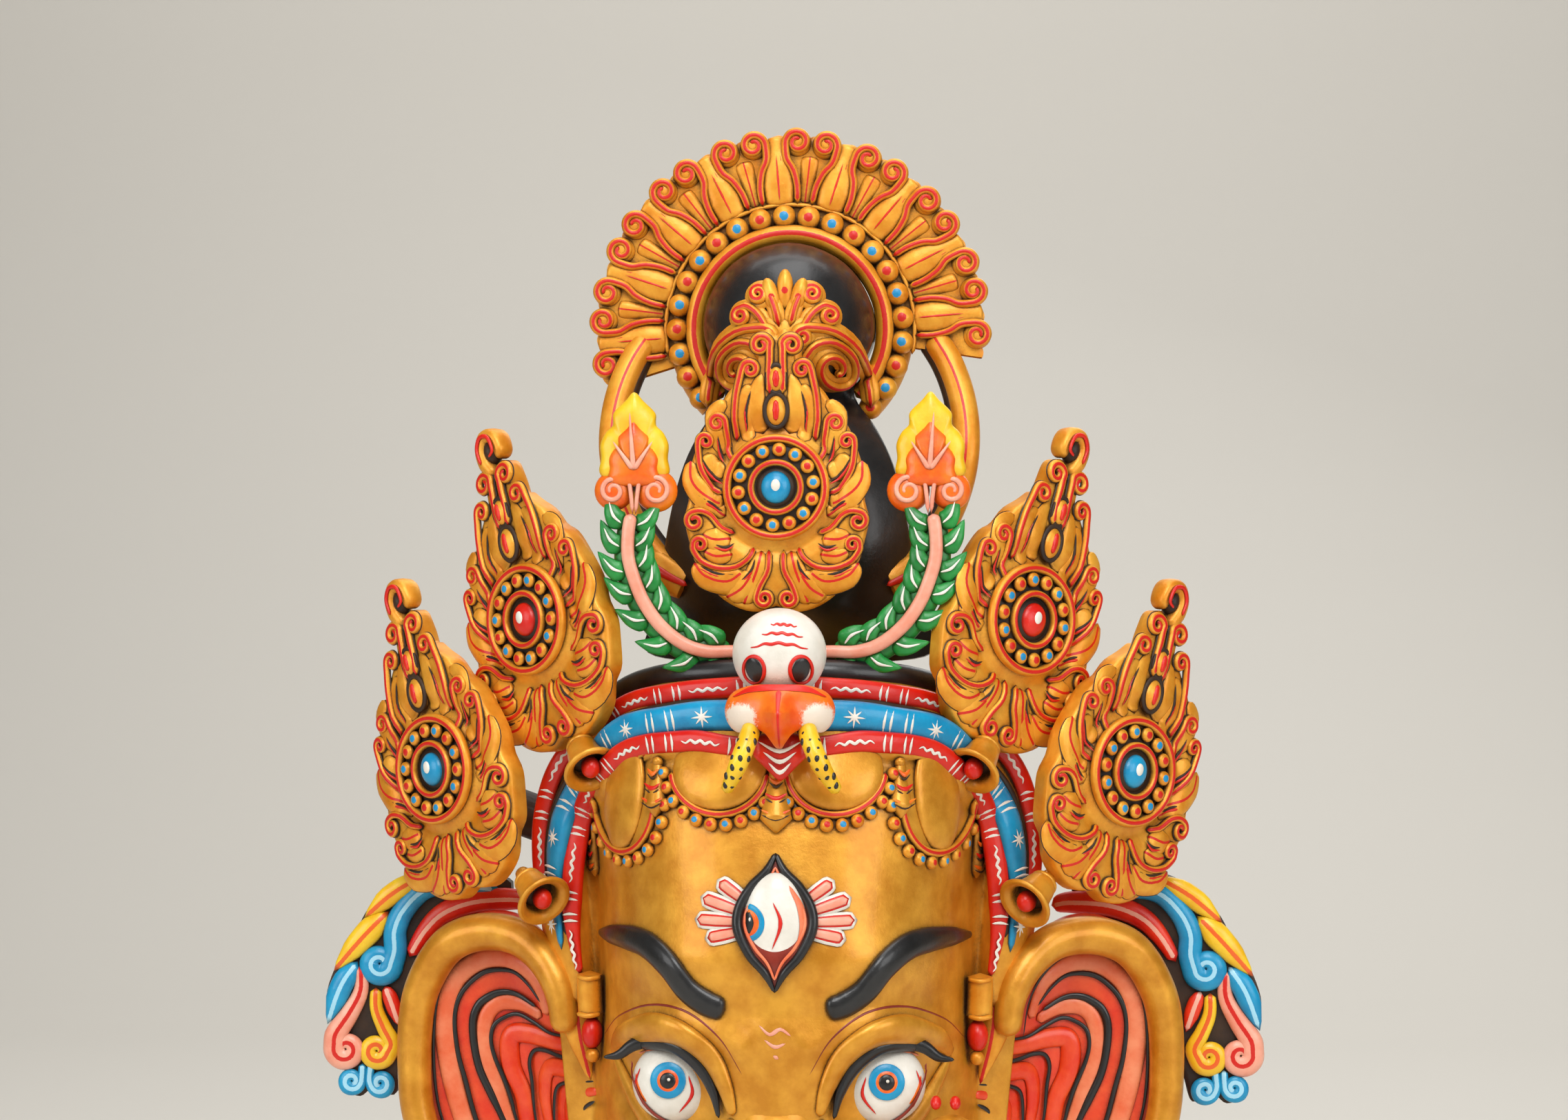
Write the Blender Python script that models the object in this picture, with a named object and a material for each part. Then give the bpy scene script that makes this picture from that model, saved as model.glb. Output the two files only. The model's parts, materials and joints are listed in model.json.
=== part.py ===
"""Ganesha wall mask of carved and painted wood.

Millimetres below become metres through MM. +X is the viewer's right, +Z up, and the front faces -Y.
A depth is the distance in front of the wall plane, which is y = 0. The origin is the hanging point on
the flat back of the topknot.
"""
import math

import bmesh
import bpy
from mathutils import Matrix, Vector

MM = 0.001
CLEARANCE = 0.3
# a cutter is swollen by more than the clearance, because a swollen facet folds over itself at a crease, and
# then by less, to clear what such a fold has left
SWELLINGS = (4 * CLEARANCE, 2.5 * CLEARANCE, 1.4 * CLEARANCE)

# head, as heights from the hanging point
HEAD_TOP = -97.0
CHIN = -572.0
HEAD_CENTRE = -310.0
HEAD_HALF_WIDTH = 152.0
FACE_HALF_WIDTH = 118.0
FACE_DEPTH = 184.0
SIDE_DEPTH = 76.0
WALL = 24.0
EYE_X = 62.0
EYE_Z = -334.0
THIRD_EYE_Z = -236.0
TRUNK_RADIUS = 31.0
TRUNK_TIP_RADIUS = 18.0
TUSK_RADIUS = 10.0
BROKEN_TUSK = 0.42
BELL_RADIUS = 15.0

# crown leaves
LEAF_HALF_WIDTH = 55.0
LEAF_HEIGHT = 169.0
LEAF_THICKNESS = 17.0
CROWN_DEPTH = 112.0
MEDALLION_RADIUS = 31.0
LEAF_YAW = 40.0
LEAF_LEAN = 20.0
SIDE_LEAF_SCALE = 1.07
# side, x, height and depth of each medallion
CENTRE_LEAF = (0, -3.5, 8.0)
INNER_LEAVES = ((-1, -153.5, -70.0, 85.0), (1, 146.0, -70.0, 85.0))
OUTER_LEAVES = ((-1, -213.0, -161.0, 60.0), (1, 207.0, -161.0, 60.0))

# halo
HALO_Z = 107.0
HALO_RADIUS = 122.0
HALO_THICKNESS = 24.0
BEAD_CIRCLE = 70.0
BEAD_RADIUS = 7.0
BEAD_COUNT = 22
INNER_RING_RADIUS = 57.0
DOME_RADIUS = 52.0
PETALS = 9
HALO_SWEEP = 206.0
LOOP_CENTRE_Z = 40.0
LOOP_RADIUS = 108.0
LOOP_WIDTH = 15.0

# skull, garlands, ears, ribbons
SKULL_RADIUS = 27.0
SKULL_Z = -88.0
SKULL_DEPTH = FACE_DEPTH - 26.0
SNAKE_RADIUS = 4.6
GARLAND_DEPTH = 112.0
GARLAND_THICKNESS = 12.0
STEM_RADIUS = 5.0
EAR_X = 178.0
EAR_Z = -350.0
EAR_BACK = 22.0
EAR_RIM_RADIUS = 11.0
RIBBON_THICKNESS = EAR_BACK - CLEARANCE

PART = "ganesha_mask"


def at(x, z, depth):
    """A place in metres from x, height and depth in front of the wall."""
    return Vector((x, -depth, z)) * MM


def catmull(a, b, c, d, t):
    """A point of the smooth curve between b and c."""
    return tuple(0.5 * (2 * q + (r - p) * t + (2 * p - 5 * q + 4 * r - s) * t * t
                        + (3 * q - p - 3 * r + s) * t ** 3)
                 for p, q, r, s in zip(a, b, c, d))


def closed_point(points, share):
    """The point at a share of the way round a smooth closed outline."""
    place = share % 1.0 * len(points)
    i = int(place)
    ring = [points[(i + k) % len(points)] for k in (-1, 0, 1, 2)]
    return catmull(*ring, place - i)


def open_curve(points, steps):
    """Points of a smooth open curve, with a number of steps between two given points."""
    padded = [points[0]] + list(points) + [points[-1]]
    curve = [catmull(*padded[i:i + 4], k / steps) for i in range(len(points) - 1) for k in range(steps)]
    return curve + [tuple(points[-1])]


def along(pairs, value):
    """Linear interpolation in (key, result) pairs with falling keys."""
    if value >= pairs[0][0]:
        return pairs[0][1]
    for (k0, r0), (k1, r1) in zip(pairs, pairs[1:]):
        if value >= k1:
            return r0 + (r1 - r0) * (k0 - value) / (k0 - k1)
    return pairs[-1][1]


def mirrored(points):
    """A right-hand half outline, top to bottom, closed by its mirror image."""
    return list(points) + [(-x, *rest) for x, *rest in reversed(points[1:-1])]


def smooth_max(a, b, blend):
    """The larger of two heights, with a rounded step between them."""
    share = max(blend - abs(a - b), 0.0) / blend
    return max(a, b) + share * share * blend * 0.25


def material(name, colour, roughness, metallic=0.0):
    """A plain Principled material."""
    made = bpy.data.materials.new(name)
    made.use_nodes = True
    shader = made.node_tree.nodes["Principled BSDF"]
    shader.inputs["Base Color"].default_value = (*colour, 1.0)
    shader.inputs["Roughness"].default_value = roughness
    shader.inputs["Metallic"].default_value = metallic
    made.diffuse_color = (*colour, 1.0)
    return made


def start():
    """An empty scene with one collection for the part."""
    for obj in list(bpy.data.objects):
        bpy.data.objects.remove(obj, do_unlink=True)
    collection = bpy.data.collections.new(PART)
    bpy.context.scene.collection.children.link(collection)
    return collection


def add_object(bm, name):
    """A bmesh becomes an object of the part, with its faces pointing out."""
    bmesh.ops.recalc_face_normals(bm, faces=bm.faces)
    if bm.calc_volume(signed=True) < 0:
        bmesh.ops.reverse_faces(bm, faces=bm.faces)
    mesh = bpy.data.meshes.new(name)
    bm.to_mesh(mesh)
    bm.free()
    obj = bpy.data.objects.new(name, mesh)
    bpy.data.collections[PART].objects.link(obj)
    return obj


def relief(name, segments, rings, front, back):
    """A closed board: a round cap is inset ring by ring, then front(ring, angle) places each vertex.

    Ring 0 is the outer edge. back(angle) places the edge of the flat back.
    """
    bm = bmesh.new()
    bmesh.ops.create_circle(bm, cap_ends=True, segments=segments, radius=1.0)
    bm.faces.ensure_lookup_table()
    back_verts = list(bm.verts)
    made = bmesh.ops.extrude_face_region(bm, geom=[bm.faces[0]])["geom"]
    cap = next(item for item in made if isinstance(item, bmesh.types.BMFace))
    step = 0.5 / rings
    for _ in range(rings - 1):
        bmesh.ops.inset_region(bm, faces=[cap], thickness=step)
    middle = bmesh.ops.poke(bm, faces=[cap])["verts"]
    for v in bm.verts:
        angle = math.atan2(v.co.y, v.co.x)
        if v in back_verts:
            v.co = back(angle)
        elif v in middle:
            v.co = front(rings, 0.0)
        else:
            v.co = front(round((1 - v.co.length) / step), angle)
    return add_object(bm, name)


def tube(name, points, radii, resolution=1):
    """A round bar along points in metres, as a mesh; radii are in millimetres."""
    data = bpy.data.curves.new(name, "CURVE")
    data.dimensions = "3D"
    data.bevel_depth = MM
    data.bevel_resolution = resolution
    data.use_fill_caps = True
    spline = data.splines.new("POLY")
    spline.points.add(len(points) - 1)
    for i, (point, place) in enumerate(zip(spline.points, points)):
        point.co = (*place, 1.0)
        point.radius = radii[i] if isinstance(radii, (list, tuple)) else radii
    return mesh_of_curve(name, data)


def plate(name, outline, thickness, matrix):
    """A flat outline in millimetres, filled, thickened and moved by a matrix."""
    data = bpy.data.curves.new(name, "CURVE")
    data.dimensions = "2D"
    data.fill_mode = "BOTH"
    data.extrude = thickness / 2 * MM
    spline = data.splines.new("POLY")
    spline.points.add(len(outline) - 1)
    spline.use_cyclic_u = True
    for point, (x, z) in zip(spline.points, outline):
        point.co = (x * MM, z * MM, 0.0, 1.0)
    obj = mesh_of_curve(name, data)
    obj.data.transform(matrix)
    return obj


def mesh_of_curve(name, data):
    """The evaluated curve as a welded mesh object."""
    curve = bpy.data.objects.new(name + "_curve", data)
    bpy.data.collections[PART].objects.link(curve)
    depsgraph = bpy.context.evaluated_depsgraph_get()
    mesh = bpy.data.meshes.new_from_object(curve.evaluated_get(depsgraph))
    bpy.data.objects.remove(curve, do_unlink=True)
    bm = bmesh.new()
    bm.from_mesh(mesh)
    bpy.data.meshes.remove(mesh)
    bmesh.ops.remove_doubles(bm, verts=bm.verts, dist=0.00001)
    return add_object(bm, name)


def ball(name, centre, radii, segments=10, rings=6, turn=None):
    """An ellipsoid with radii across, up and deep."""
    bm = bmesh.new()
    bmesh.ops.create_uvsphere(bm, u_segments=segments, v_segments=rings, radius=MM)
    shape = Matrix.Diagonal((radii[0], radii[2], radii[1], 1.0))
    bmesh.ops.transform(bm, verts=bm.verts, matrix=Matrix.Translation(centre) @ (turn or Matrix()) @ shape)
    return add_object(bm, name)


def cone(name, matrix, radius, top_radius, height, segments=10):
    """A frustum along the matrix's Z axis, from its base at the matrix's place."""
    bm = bmesh.new()
    bmesh.ops.create_cone(bm, cap_ends=True, segments=segments, radius1=radius * MM,
                          radius2=top_radius * MM, depth=height * MM)
    lift = Matrix.Translation((0, 0, height / 2 * MM))
    bmesh.ops.transform(bm, verts=bm.verts, matrix=matrix @ lift)
    return add_object(bm, name)


def boolean(body, tool, operation):
    """The body's mesh becomes the result of a Boolean with the tool.

    The solver is the one for closed meshes, because the exact one loses the head after many unions.
    """
    modifier = body.modifiers.new(operation, "BOOLEAN")
    modifier.operation = operation
    modifier.solver = "MANIFOLD"
    modifier.object = tool
    depsgraph = bpy.context.evaluated_depsgraph_get()
    mesh = bpy.data.meshes.new_from_object(body.evaluated_get(depsgraph))
    body.modifiers.clear()
    old = body.data
    body.data = mesh
    bpy.data.meshes.remove(old)


def join(body, *pieces):
    """Carve as one: pieces are united with the body and removed."""
    for piece in pieces:
        boolean(body, piece, "UNION")
        bpy.data.objects.remove(piece, do_unlink=True)
    return body


def fit(piece, *neighbours):
    """Take what a neighbour and its clearance fill out of a piece."""
    for neighbour, swelling in [(neighbour, swelling) for neighbour in neighbours for swelling in SWELLINGS]:
        cutter = bpy.data.objects.new("cutter", neighbour.data.copy())
        bpy.data.collections[PART].objects.link(cutter)
        bm = bmesh.new()
        bm.from_mesh(cutter.data)
        bm.normal_update()
        moves = [(v, v.normal * swelling * MM) for v in bm.verts]
        for v, move in moves:
            v.co += move
        bm.to_mesh(cutter.data)
        bm.free()
        boolean(piece, cutter, "DIFFERENCE")
        bpy.data.objects.remove(cutter, do_unlink=True)
        keep_largest(piece)
    return piece


def keep_largest(piece):
    """Drop the chips that a cut leaves loose."""
    bm = bmesh.new()
    bm.from_mesh(piece.data)
    left = set(bm.verts)
    groups = []
    while left:
        group = {left.pop()}
        front = list(group)
        while front:
            vert = front.pop()
            near = {edge.other_vert(vert) for edge in vert.link_edges} - group
            group |= near
            front += near
        left -= group
        groups.append(group)
    largest = max(groups, key=len)
    bmesh.ops.delete(bm, geom=[v for v in bm.verts if v not in largest], context="VERTS")
    bm.to_mesh(piece.data)
    bm.free()


def finish(obj, paint):
    """Material and shading of a finished piece."""
    obj.data.materials.clear()
    obj.data.materials.append(paint)
    obj.data.shade_smooth()
    obj.data.set_sharp_from_angle(angle=math.radians(38))
    return obj


# Head

HEAD_OUTLINE = mirrored([
    (0, HEAD_TOP), (62, HEAD_TOP - 2), (112, HEAD_TOP - 24), (0.96 * HEAD_HALF_WIDTH, -175),
    (HEAD_HALF_WIDTH, -235), (0.92 * HEAD_HALF_WIDTH, -300), (132, -370), (124, -440), (108, -500),
    (76, CHIN + 24), (0, CHIN)])
FRONT_BY_HEIGHT = [
    (HEAD_TOP, 0.56), (-110, 0.75), (-145, 0.87), (-180, 0.94), (-236, 1.0), (-285, 1.0), (-330, 0.94),
    (-380, 0.87), (-440, 0.83), (-500, 0.79), (-545, 0.67), (CHIN, 0.33)]
WIDTH_BY_HEIGHT = [
    (HEAD_TOP, 0.75), (-120, 0.97), (-150, 1.06), (-190, 1.03), (-240, 0.98), (-300, 0.98), (-345, 1.0),
    (-400, 1.04), (-450, 1.0), (-500, 0.86), (-545, 0.62), (CHIN, 0.3)]


BAND_BEND_Z = -150.0
BAND = [(0, -125), (52, -124), (84, -130), (108, -149), (128, -180), (137, -222), (131, -290)]
SWAGS = [(33, -160, 29, 27, 6), (91, -180, 12, 26, 5)]


def distance(points, x, z):
    """Distance from a place to a line through points."""
    best = 1e9
    for (x0, z0), (x1, z1) in zip(points, points[1:]):
        dx, dz = x1 - x0, z1 - z0
        share = max(0.0, min(1.0, ((x - x0) * dx + (z - z0) * dz) / (dx * dx + dz * dz)))
        best = min(best, math.hypot(x - x0 - share * dx, z - z0 - share * dz))
    return best


def carving(x, z):
    """Height of the headband, the gold swags and the eyeballs above the plain head."""
    x = abs(x)
    width = 25.0 if z > BAND_BEND_Z else 17.0
    high = 7.0 + 9.0 * max(0.0, min(1.0, (BAND_BEND_Z - z) / 40.0))
    rise = high * max(0.0, min(1.0, (width - distance(BAND, x, z)) / 7.0))
    for cx, cz, across, tall, high in SWAGS:
        rise = max(rise, high * max(0.0, 1 - ((x - cx) / across) ** 2 - ((z - cz) / tall) ** 2) ** 0.5)
    globe = max(0.0, 1 - ((x - EYE_X) / 33) ** 2 - ((z - EYE_Z) / 22) ** 2) ** 0.5
    return max(rise, 12.0 * globe)


def head_depth(x, z):
    """Depth of the head's carved front at a place: the face block over the broader sides."""
    share = min(abs(x) / (FACE_HALF_WIDTH * along(WIDTH_BY_HEIGHT, z)), 1.0)
    face = FACE_DEPTH * along(FRONT_BY_HEIGHT, z) * (1 - share ** 2.6) ** 0.44
    side = SIDE_DEPTH * (1 - min(abs(x) / (HEAD_HALF_WIDTH + 12), 1.0) ** 5) ** 0.5
    return smooth_max(face, side, 16.0)


def on_head(points, lift):
    """Points of a smooth line that follows the head's front, lifted off it."""
    return [at(x, z, head_depth(x, z) + lift) for x, z in open_curve(points, 2)]


def head_place(share, angle):
    """A place on the head's front by its share of the way out to the outline."""
    x, z = closed_point(HEAD_OUTLINE, 0.25 - angle / math.tau)
    return x * share, HEAD_CENTRE + (z - HEAD_CENTRE) * share


def head_body():
    """The head block, hollowed from the back."""
    shares = [1.0, 0.96, 0.89, 0.82, 0.75, 0.67, 0.59, 0.5, 0.4, 0.3, 0.18, 0.0]

    def front(ring, angle):
        x, z = head_place(shares[ring], angle)
        return at(x, z, head_depth(x, z) + carving(x, z))

    def back(angle):
        x, z = head_place(1.0, angle)
        return at(x, z, 0.0)

    return relief("mask_face", 44, len(shares) - 1, front, back)


def trunk():
    """The trunk hangs from between the eyes and curls up at the viewer's right."""
    spine = [(0, -318, 150, 22), (0, -360, 158, 27), (-2, -410, 170, TRUNK_RADIUS), (4, -452, 176, 29),
             (26, -486, 178, 26), (62, -500, 176, 24), (98, -482, 173, 22), (116, -442, 171, 20.5),
             (114, -402, 170, 19.5), (99, -364, 168, TRUNK_TIP_RADIUS), (96, -352, 168, 14)]
    curve = open_curve(spine, 1)
    return tube("trunk", [at(x, z, depth) for x, z, depth, _ in curve], [r for *_, r in curve], 2)


def bell(side, x, z, turn):
    """A small bell: a crown and a flared skirt, tipped so that its mouth faces forward."""
    place = at(side * x, z, head_depth(x, z) + 0.6 * BELL_RADIUS)
    tip = Matrix.Translation(place) @ Matrix.Rotation(math.radians(side * turn), 4, "Y")
    tip = tip @ Matrix.Rotation(math.radians(-48), 4, "X")
    skirt = cone("bell", tip @ Matrix.Translation((0, 0, -6 * MM)), BELL_RADIUS, 0.62 * BELL_RADIUS, 16, 8)
    crown = cone("crown", tip @ Matrix.Translation((0, 0, 9 * MM)), 0.6 * BELL_RADIUS, 4, 12, 8)
    return [skirt, crown]


def eyebrow(side):
    """The raised black eyebrow."""
    brow = [(106, -248), (88, -247), (68, -249), (53, -263), (39, -278), (26, -285)]
    points = [at(side * x, z, head_depth(x, z)) for x, z in brow]
    return tube("brow", points, [3.0, 5.0, 5.5, 5.5, 5.0, 4.0])


def third_eye():
    """The upright almond eye with three petals at each side."""
    depth = head_depth(0, THIRD_EYE_Z)
    made = [ball("third", at(0, THIRD_EYE_Z, depth - 4), (24, 37, 12), 10, 6)]
    for side in (-1, 1):
        for turn in (32, 0, -32):
            reach = 34 * math.cos(math.radians(turn))
            place = at(side * reach, THIRD_EYE_Z + 8 + 0.9 * turn * 0.5, head_depth(reach, THIRD_EYE_Z))
            swing = Matrix.Rotation(math.radians(-side * turn), 4, "Y")
            made.append(ball("petal", place, (13, 5, 4), 6, 4, swing))
    return made


def pendants():
    """The pointed drops between the swags."""
    made = [ball("pendant", at(0, -177, head_depth(0, -177)), (9, 17, 7), 6, 4)]
    for side in (-1, 1):
        made.append(ball("drop", at(side * 69, -166, head_depth(69, -166)), (6, 15, 6), 6, 4))
    return made


def mouth():
    """Lips under the trunk and the ear pendants beside the face."""
    made = []
    for name, line, radius in (("upper_lip", [(84, -446), (56, -462), (20, -470)], 6.0),
                               ("lower_lip", [(78, -458), (52, -492), (20, -508)], 8.5)):
        line = line + [(-x, z) for x, z in reversed(line)]
        made.append(tube(name, on_head(line, 0.0), radius, 1))
    for side in (-1, 1):
        made.append(ball("cap", at(side * 117, -291, 84), (9, 11, 11), 6, 5))
        made.append(ball("bead", at(side * 115, -316, 84), (8, 17, 9), 6, 5))
    return made


def brackets():
    """Stubs behind the crown that carry the side leaves."""
    made = []
    for side in (-1, 1):
        made.append(tube("bracket", [at(side * 92, -150, 46), at(side * 140, -100, 42)], 17, 1))
        made.append(tube("bracket", [at(side * 120, -205, 32), at(side * 192, -180, 22)], 15, 1))
    return made


def hollow():
    """The inside of the head, an egg shape that is open at the back."""
    half = (HEAD_HALF_WIDTH - WALL) * 0.86
    tall = (HEAD_TOP - CHIN) / 2 - WALL
    middle = (HEAD_TOP + CHIN) / 2
    return ball("hollow", at(0, middle + 10, 0), (half, tall - 14, FACE_DEPTH - 2.4 * WALL), 20, 10)


def make_head():
    """The whole head, one block of wood."""
    head = head_body()
    pieces = [trunk(), *third_eye(), *pendants(), *mouth(), *brackets()]
    for side in (-1, 1):
        pieces += [eyebrow(side), *bell(side, 110, -149, 16), *bell(side, 145, -236, 22)]
    join(head, *pieces)
    inside = hollow()
    boolean(head, inside, "DIFFERENCE")
    bpy.data.objects.remove(inside, do_unlink=True)
    keep_largest(head)
    return finish(head, material("gold_paint_face", (0.62, 0.36, 0.10), 0.35, 0.3))


def make_tusk(side, length):
    """A tapering tusk let into the cheek."""
    root = (side * 56, -436, 128)
    reach = [(0, 0, 0), (7, -10, 26), (15, -18, 50), (24, -18, 72)]
    steps = open_curve([(root[0] + side * x * length, root[1] + z * length, root[2] + d * length)
                        for x, z, d in reach], 2)
    radii = [TUSK_RADIUS * (1 - 0.7 * i / (len(steps) - 1)) for i in range(len(steps))]
    name = "tusk_left" if side < 0 else "tusk_right"
    return tube(name, [at(*step) for step in steps], radii, 2)


# Crown leaves

LEAF_UP = 0.562 * LEAF_HEIGHT
LEAF_DOWN = LEAF_HEIGHT - LEAF_UP
LEAF_OUTLINE = mirrored([
    (0, LEAF_UP), (9, 0.95 * LEAF_UP), (12, 0.8 * LEAF_UP), (0.36 * LEAF_HALF_WIDTH, 0.68 * LEAF_UP),
    (0.66 * LEAF_HALF_WIDTH, 0.5 * LEAF_UP), (0.86 * LEAF_HALF_WIDTH, 0.24 * LEAF_UP),
    (LEAF_HALF_WIDTH, -0.1 * LEAF_DOWN), (0.94 * LEAF_HALF_WIDTH, -0.42 * LEAF_DOWN),
    (0.79 * LEAF_HALF_WIDTH, -0.73 * LEAF_DOWN), (0.43 * LEAF_HALF_WIDTH, -0.95 * LEAF_DOWN),
    (0, -LEAF_DOWN)])
LEAF_LOBES = 10
LEAF_RINGS = ((1.0, 0), (0.85, 6), (0.04, 3), (-0.08, 9), (-0.5, 5), (-0.62, 11), (-1.0, 13))


def leaf_place(share, angle):
    """A place on a leaf: shares above 0 run from the medallion to the edge, below 0 to its centre."""
    turn = 0.25 - angle / math.tau
    x, z = closed_point(LEAF_OUTLINE, turn)
    notch = 1 - 0.07 * abs(math.cos(math.pi * LEAF_LOBES * turn)) ** 6 * (share > 0.8)
    away = math.atan2(z, x)
    ring_x = MEDALLION_RADIUS * math.cos(away)
    ring_z = MEDALLION_RADIUS * math.sin(away)
    if share < 0:
        return ring_x * (1 + share), ring_z * (1 + share)
    return ring_x + (x * notch - ring_x) * share, ring_z + (z * notch - ring_z) * share


def leaf_matrix(side, x, z, depth):
    """Puts a leaf's medallion at its place, leaning out and turned aside; side 0 is the middle leaf."""
    turn = Matrix.Rotation(math.radians(side * LEAF_YAW), 4, "Z")
    lean = Matrix.Rotation(math.radians(side * LEAF_LEAN), 4, "Y")
    scale = Matrix.Scale(SIDE_LEAF_SCALE if side else 1.0, 4)
    return Matrix.Translation(at(x, z, depth)) @ turn @ lean @ scale


def make_leaf(name, side, x, z, depth):
    """A carved leaf with a jewelled medallion and a hooked tip on the side leaves."""
    base = leaf_matrix(side, x, z, depth)

    def front(ring, angle):
        share, rise = LEAF_RINGS[min(ring, len(LEAF_RINGS) - 1)]
        px, pz = leaf_place(share, angle)
        if 0.5 < share < 0.95:
            rise += 1.6 * math.cos(math.tau * LEAF_LOBES * (0.25 - angle / math.tau))
        return base @ at(px, pz, rise - 4)

    def back(angle):
        px, pz = leaf_place(1.0, angle)
        return base @ at(px, pz, -LEAF_THICKNESS)

    leaf = relief(name, 32, len(LEAF_RINGS) - 1, front, back)
    if side:
        hook = [(side * x, LEAF_UP + z) for x, z in ((2, -6), (10, 1), (9, 14), (-2, 17))]
        points = [base @ at(px, pz, -7) for px, pz in open_curve(hook, 2)]
        join(leaf, tube("hook", points, [8, 8, 8, 7.5, 7, 6.5, 5], 1))
    return leaf


# Topknot and halo

TOPKNOT_CENTRE = 50.0
TOPKNOT_OUTLINE = mirrored([
    (0, HALO_Z + DOME_RADIUS), (32, HALO_Z + 41), (49, HALO_Z + 18), (DOME_RADIUS, HALO_Z - 5),
    (43, HALO_Z - 28), (40, HALO_Z - 42), (53, 46), (64, 22), (72, -10), (78, -44), (84, -70),
    (88, HEAD_TOP + 6), (56, HEAD_TOP), (0, HEAD_TOP)])


def bulge(x, z, middle, half_width, half_height, depth):
    """Depth of an ellipsoid swelling."""
    left = 1 - (x / half_width) ** 2 - ((z - middle) / half_height) ** 2
    return depth * max(left, 0.0) ** 0.5


def topknot_depth(x, z):
    """The lower bulb and the upper dome of the hair."""
    bulb = bulge(x, z, -24, 94, 100, 76)
    dome = bulge(x, z, HALO_Z, 1.02 * DOME_RADIUS, 1.02 * DOME_RADIUS, 56) + 24 * (z > HALO_Z - DOME_RADIUS)
    return max(smooth_max(bulb, dome, 14), 26.0)


def make_topknot():
    """Black hair in a bulb and a dome, with a gold scroll ornament and a peg for the middle leaf."""
    shares = [1.0, 0.9, 0.7, 0.45, 0.2, 0.0]

    def place(share, angle):
        x, z = closed_point(TOPKNOT_OUTLINE, 0.25 - angle / math.tau)
        return x * share, TOPKNOT_CENTRE + (z - TOPKNOT_CENTRE) * share

    def front(ring, angle):
        x, z = place(shares[ring], angle)
        return at(x, z, topknot_depth(x, z))

    def back(angle):
        x, z = place(1.0, angle)
        return at(x, z, 0.0)

    knot = relief("topknot", 28, len(shares) - 1, front, back)
    scrolls = [(23, 84, 17), (30, 112, 8), (12, 122, 8)]
    for side in (-1, 1):
        for x, z, radius in scrolls:
            join(knot, ball("scroll", at(side * x, z, topknot_depth(x, z) - 1), (radius, radius, 8), 8, 4))
    join(knot, ball("scroll", at(0, 104, topknot_depth(0, 104) - 2), (13, 24, 10), 8, 5))
    peg = tube("peg", [at(0, 0, 60), at(0, 0, CROWN_DEPTH)], 14, 1)
    return join(knot, peg)


def halo_fan():
    """The fan: a radial section spun through its arc, with fluted petals and a bumpy rim."""
    bm = bmesh.new()
    inner = DOME_RADIUS + CLEARANCE
    radii = (inner, INNER_RING_RADIUS, 62, 78, 0.9 * HALO_RADIUS, HALO_RADIUS)
    rises = (-4, 3, -6, -5, 0, -5)
    profile = [(inner, 0.0)] + [(r, HALO_THICKNESS + h) for r, h in zip(radii, rises)] + [(HALO_RADIUS, 0.0)]
    verts = [bm.verts.new((r * MM, -d * MM, 0)) for r, d in profile]
    face = bm.faces.new(verts)
    steps = 4 * PETALS
    reach = math.radians(HALO_SWEEP)
    first = (math.pi - reach) / 2
    bmesh.ops.rotate(bm, verts=verts, matrix=Matrix.Rotation(-first, 3, "Y"))
    bmesh.ops.spin(bm, geom=[face], axis=(0, 1, 0), cent=(0, 0, 0), steps=steps, angle=-reach)
    for v in bm.verts:
        radius = math.hypot(v.co.x, v.co.z) / MM
        angle = math.atan2(v.co.z, v.co.x) - first
        petal = angle / reach * PETALS
        if radius > 75 and v.co.y < -5 * MM:
            v.co.y -= 3.5 * math.cos(math.tau * (petal - 0.5)) * MM
        if radius > HALO_RADIUS - 2:
            scale = 1 - 0.035 * (1 + math.cos(math.tau * 2 * petal)) / 2
            v.co.x *= scale
            v.co.z *= scale
        v.co.z += HALO_Z * MM
    return add_object(bm, "halo")


def arc(radius, start, end, steps, centre_z):
    """Points (x, z) of an arc, angles in degrees from +X."""
    turns = [math.radians(start + (end - start) * i / steps) for i in range(steps + 1)]
    return [(radius * math.cos(a), centre_z + radius * math.sin(a)) for a in turns]


def make_halo():
    """Fan, lower ends of the ring with their beads, and the two ribbon loops."""
    halo = halo_fan()
    for side in (-1, 1):
        flank = arc(BEAD_CIRCLE - 8, -8, 44, 6, 0)
        flank = [(side * x, HALO_Z - z) for x, z in flank]
        join(halo, tube("flank", [at(x, z, 12) for x, z in flank], 11.5, 1))
        loop = [(side * x, z) for x, z in arc(LOOP_RADIUS, 34, -52, 9, LOOP_CENTRE_Z)]
        depths = [14 + 5 * min(i, 4) + 4.0 * max(i - 6, 0) for i in range(len(loop))]
        join(halo, tube("loop", [at(x, z, d) for (x, z), d in zip(loop, depths)], LOOP_WIDTH * 0.62, 1))
    for i in range(BEAD_COUNT):
        turn = math.radians(-44 + 268 * i / (BEAD_COUNT - 1))
        x, z = BEAD_CIRCLE * math.cos(turn), HALO_Z + BEAD_CIRCLE * math.sin(turn)
        join(halo, ball("bead", at(x, z, HALO_THICKNESS - 4), (BEAD_RADIUS, BEAD_RADIUS, 6.5), 5, 3))
    return halo


# Skull, garlands, ears and ribbons

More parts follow.
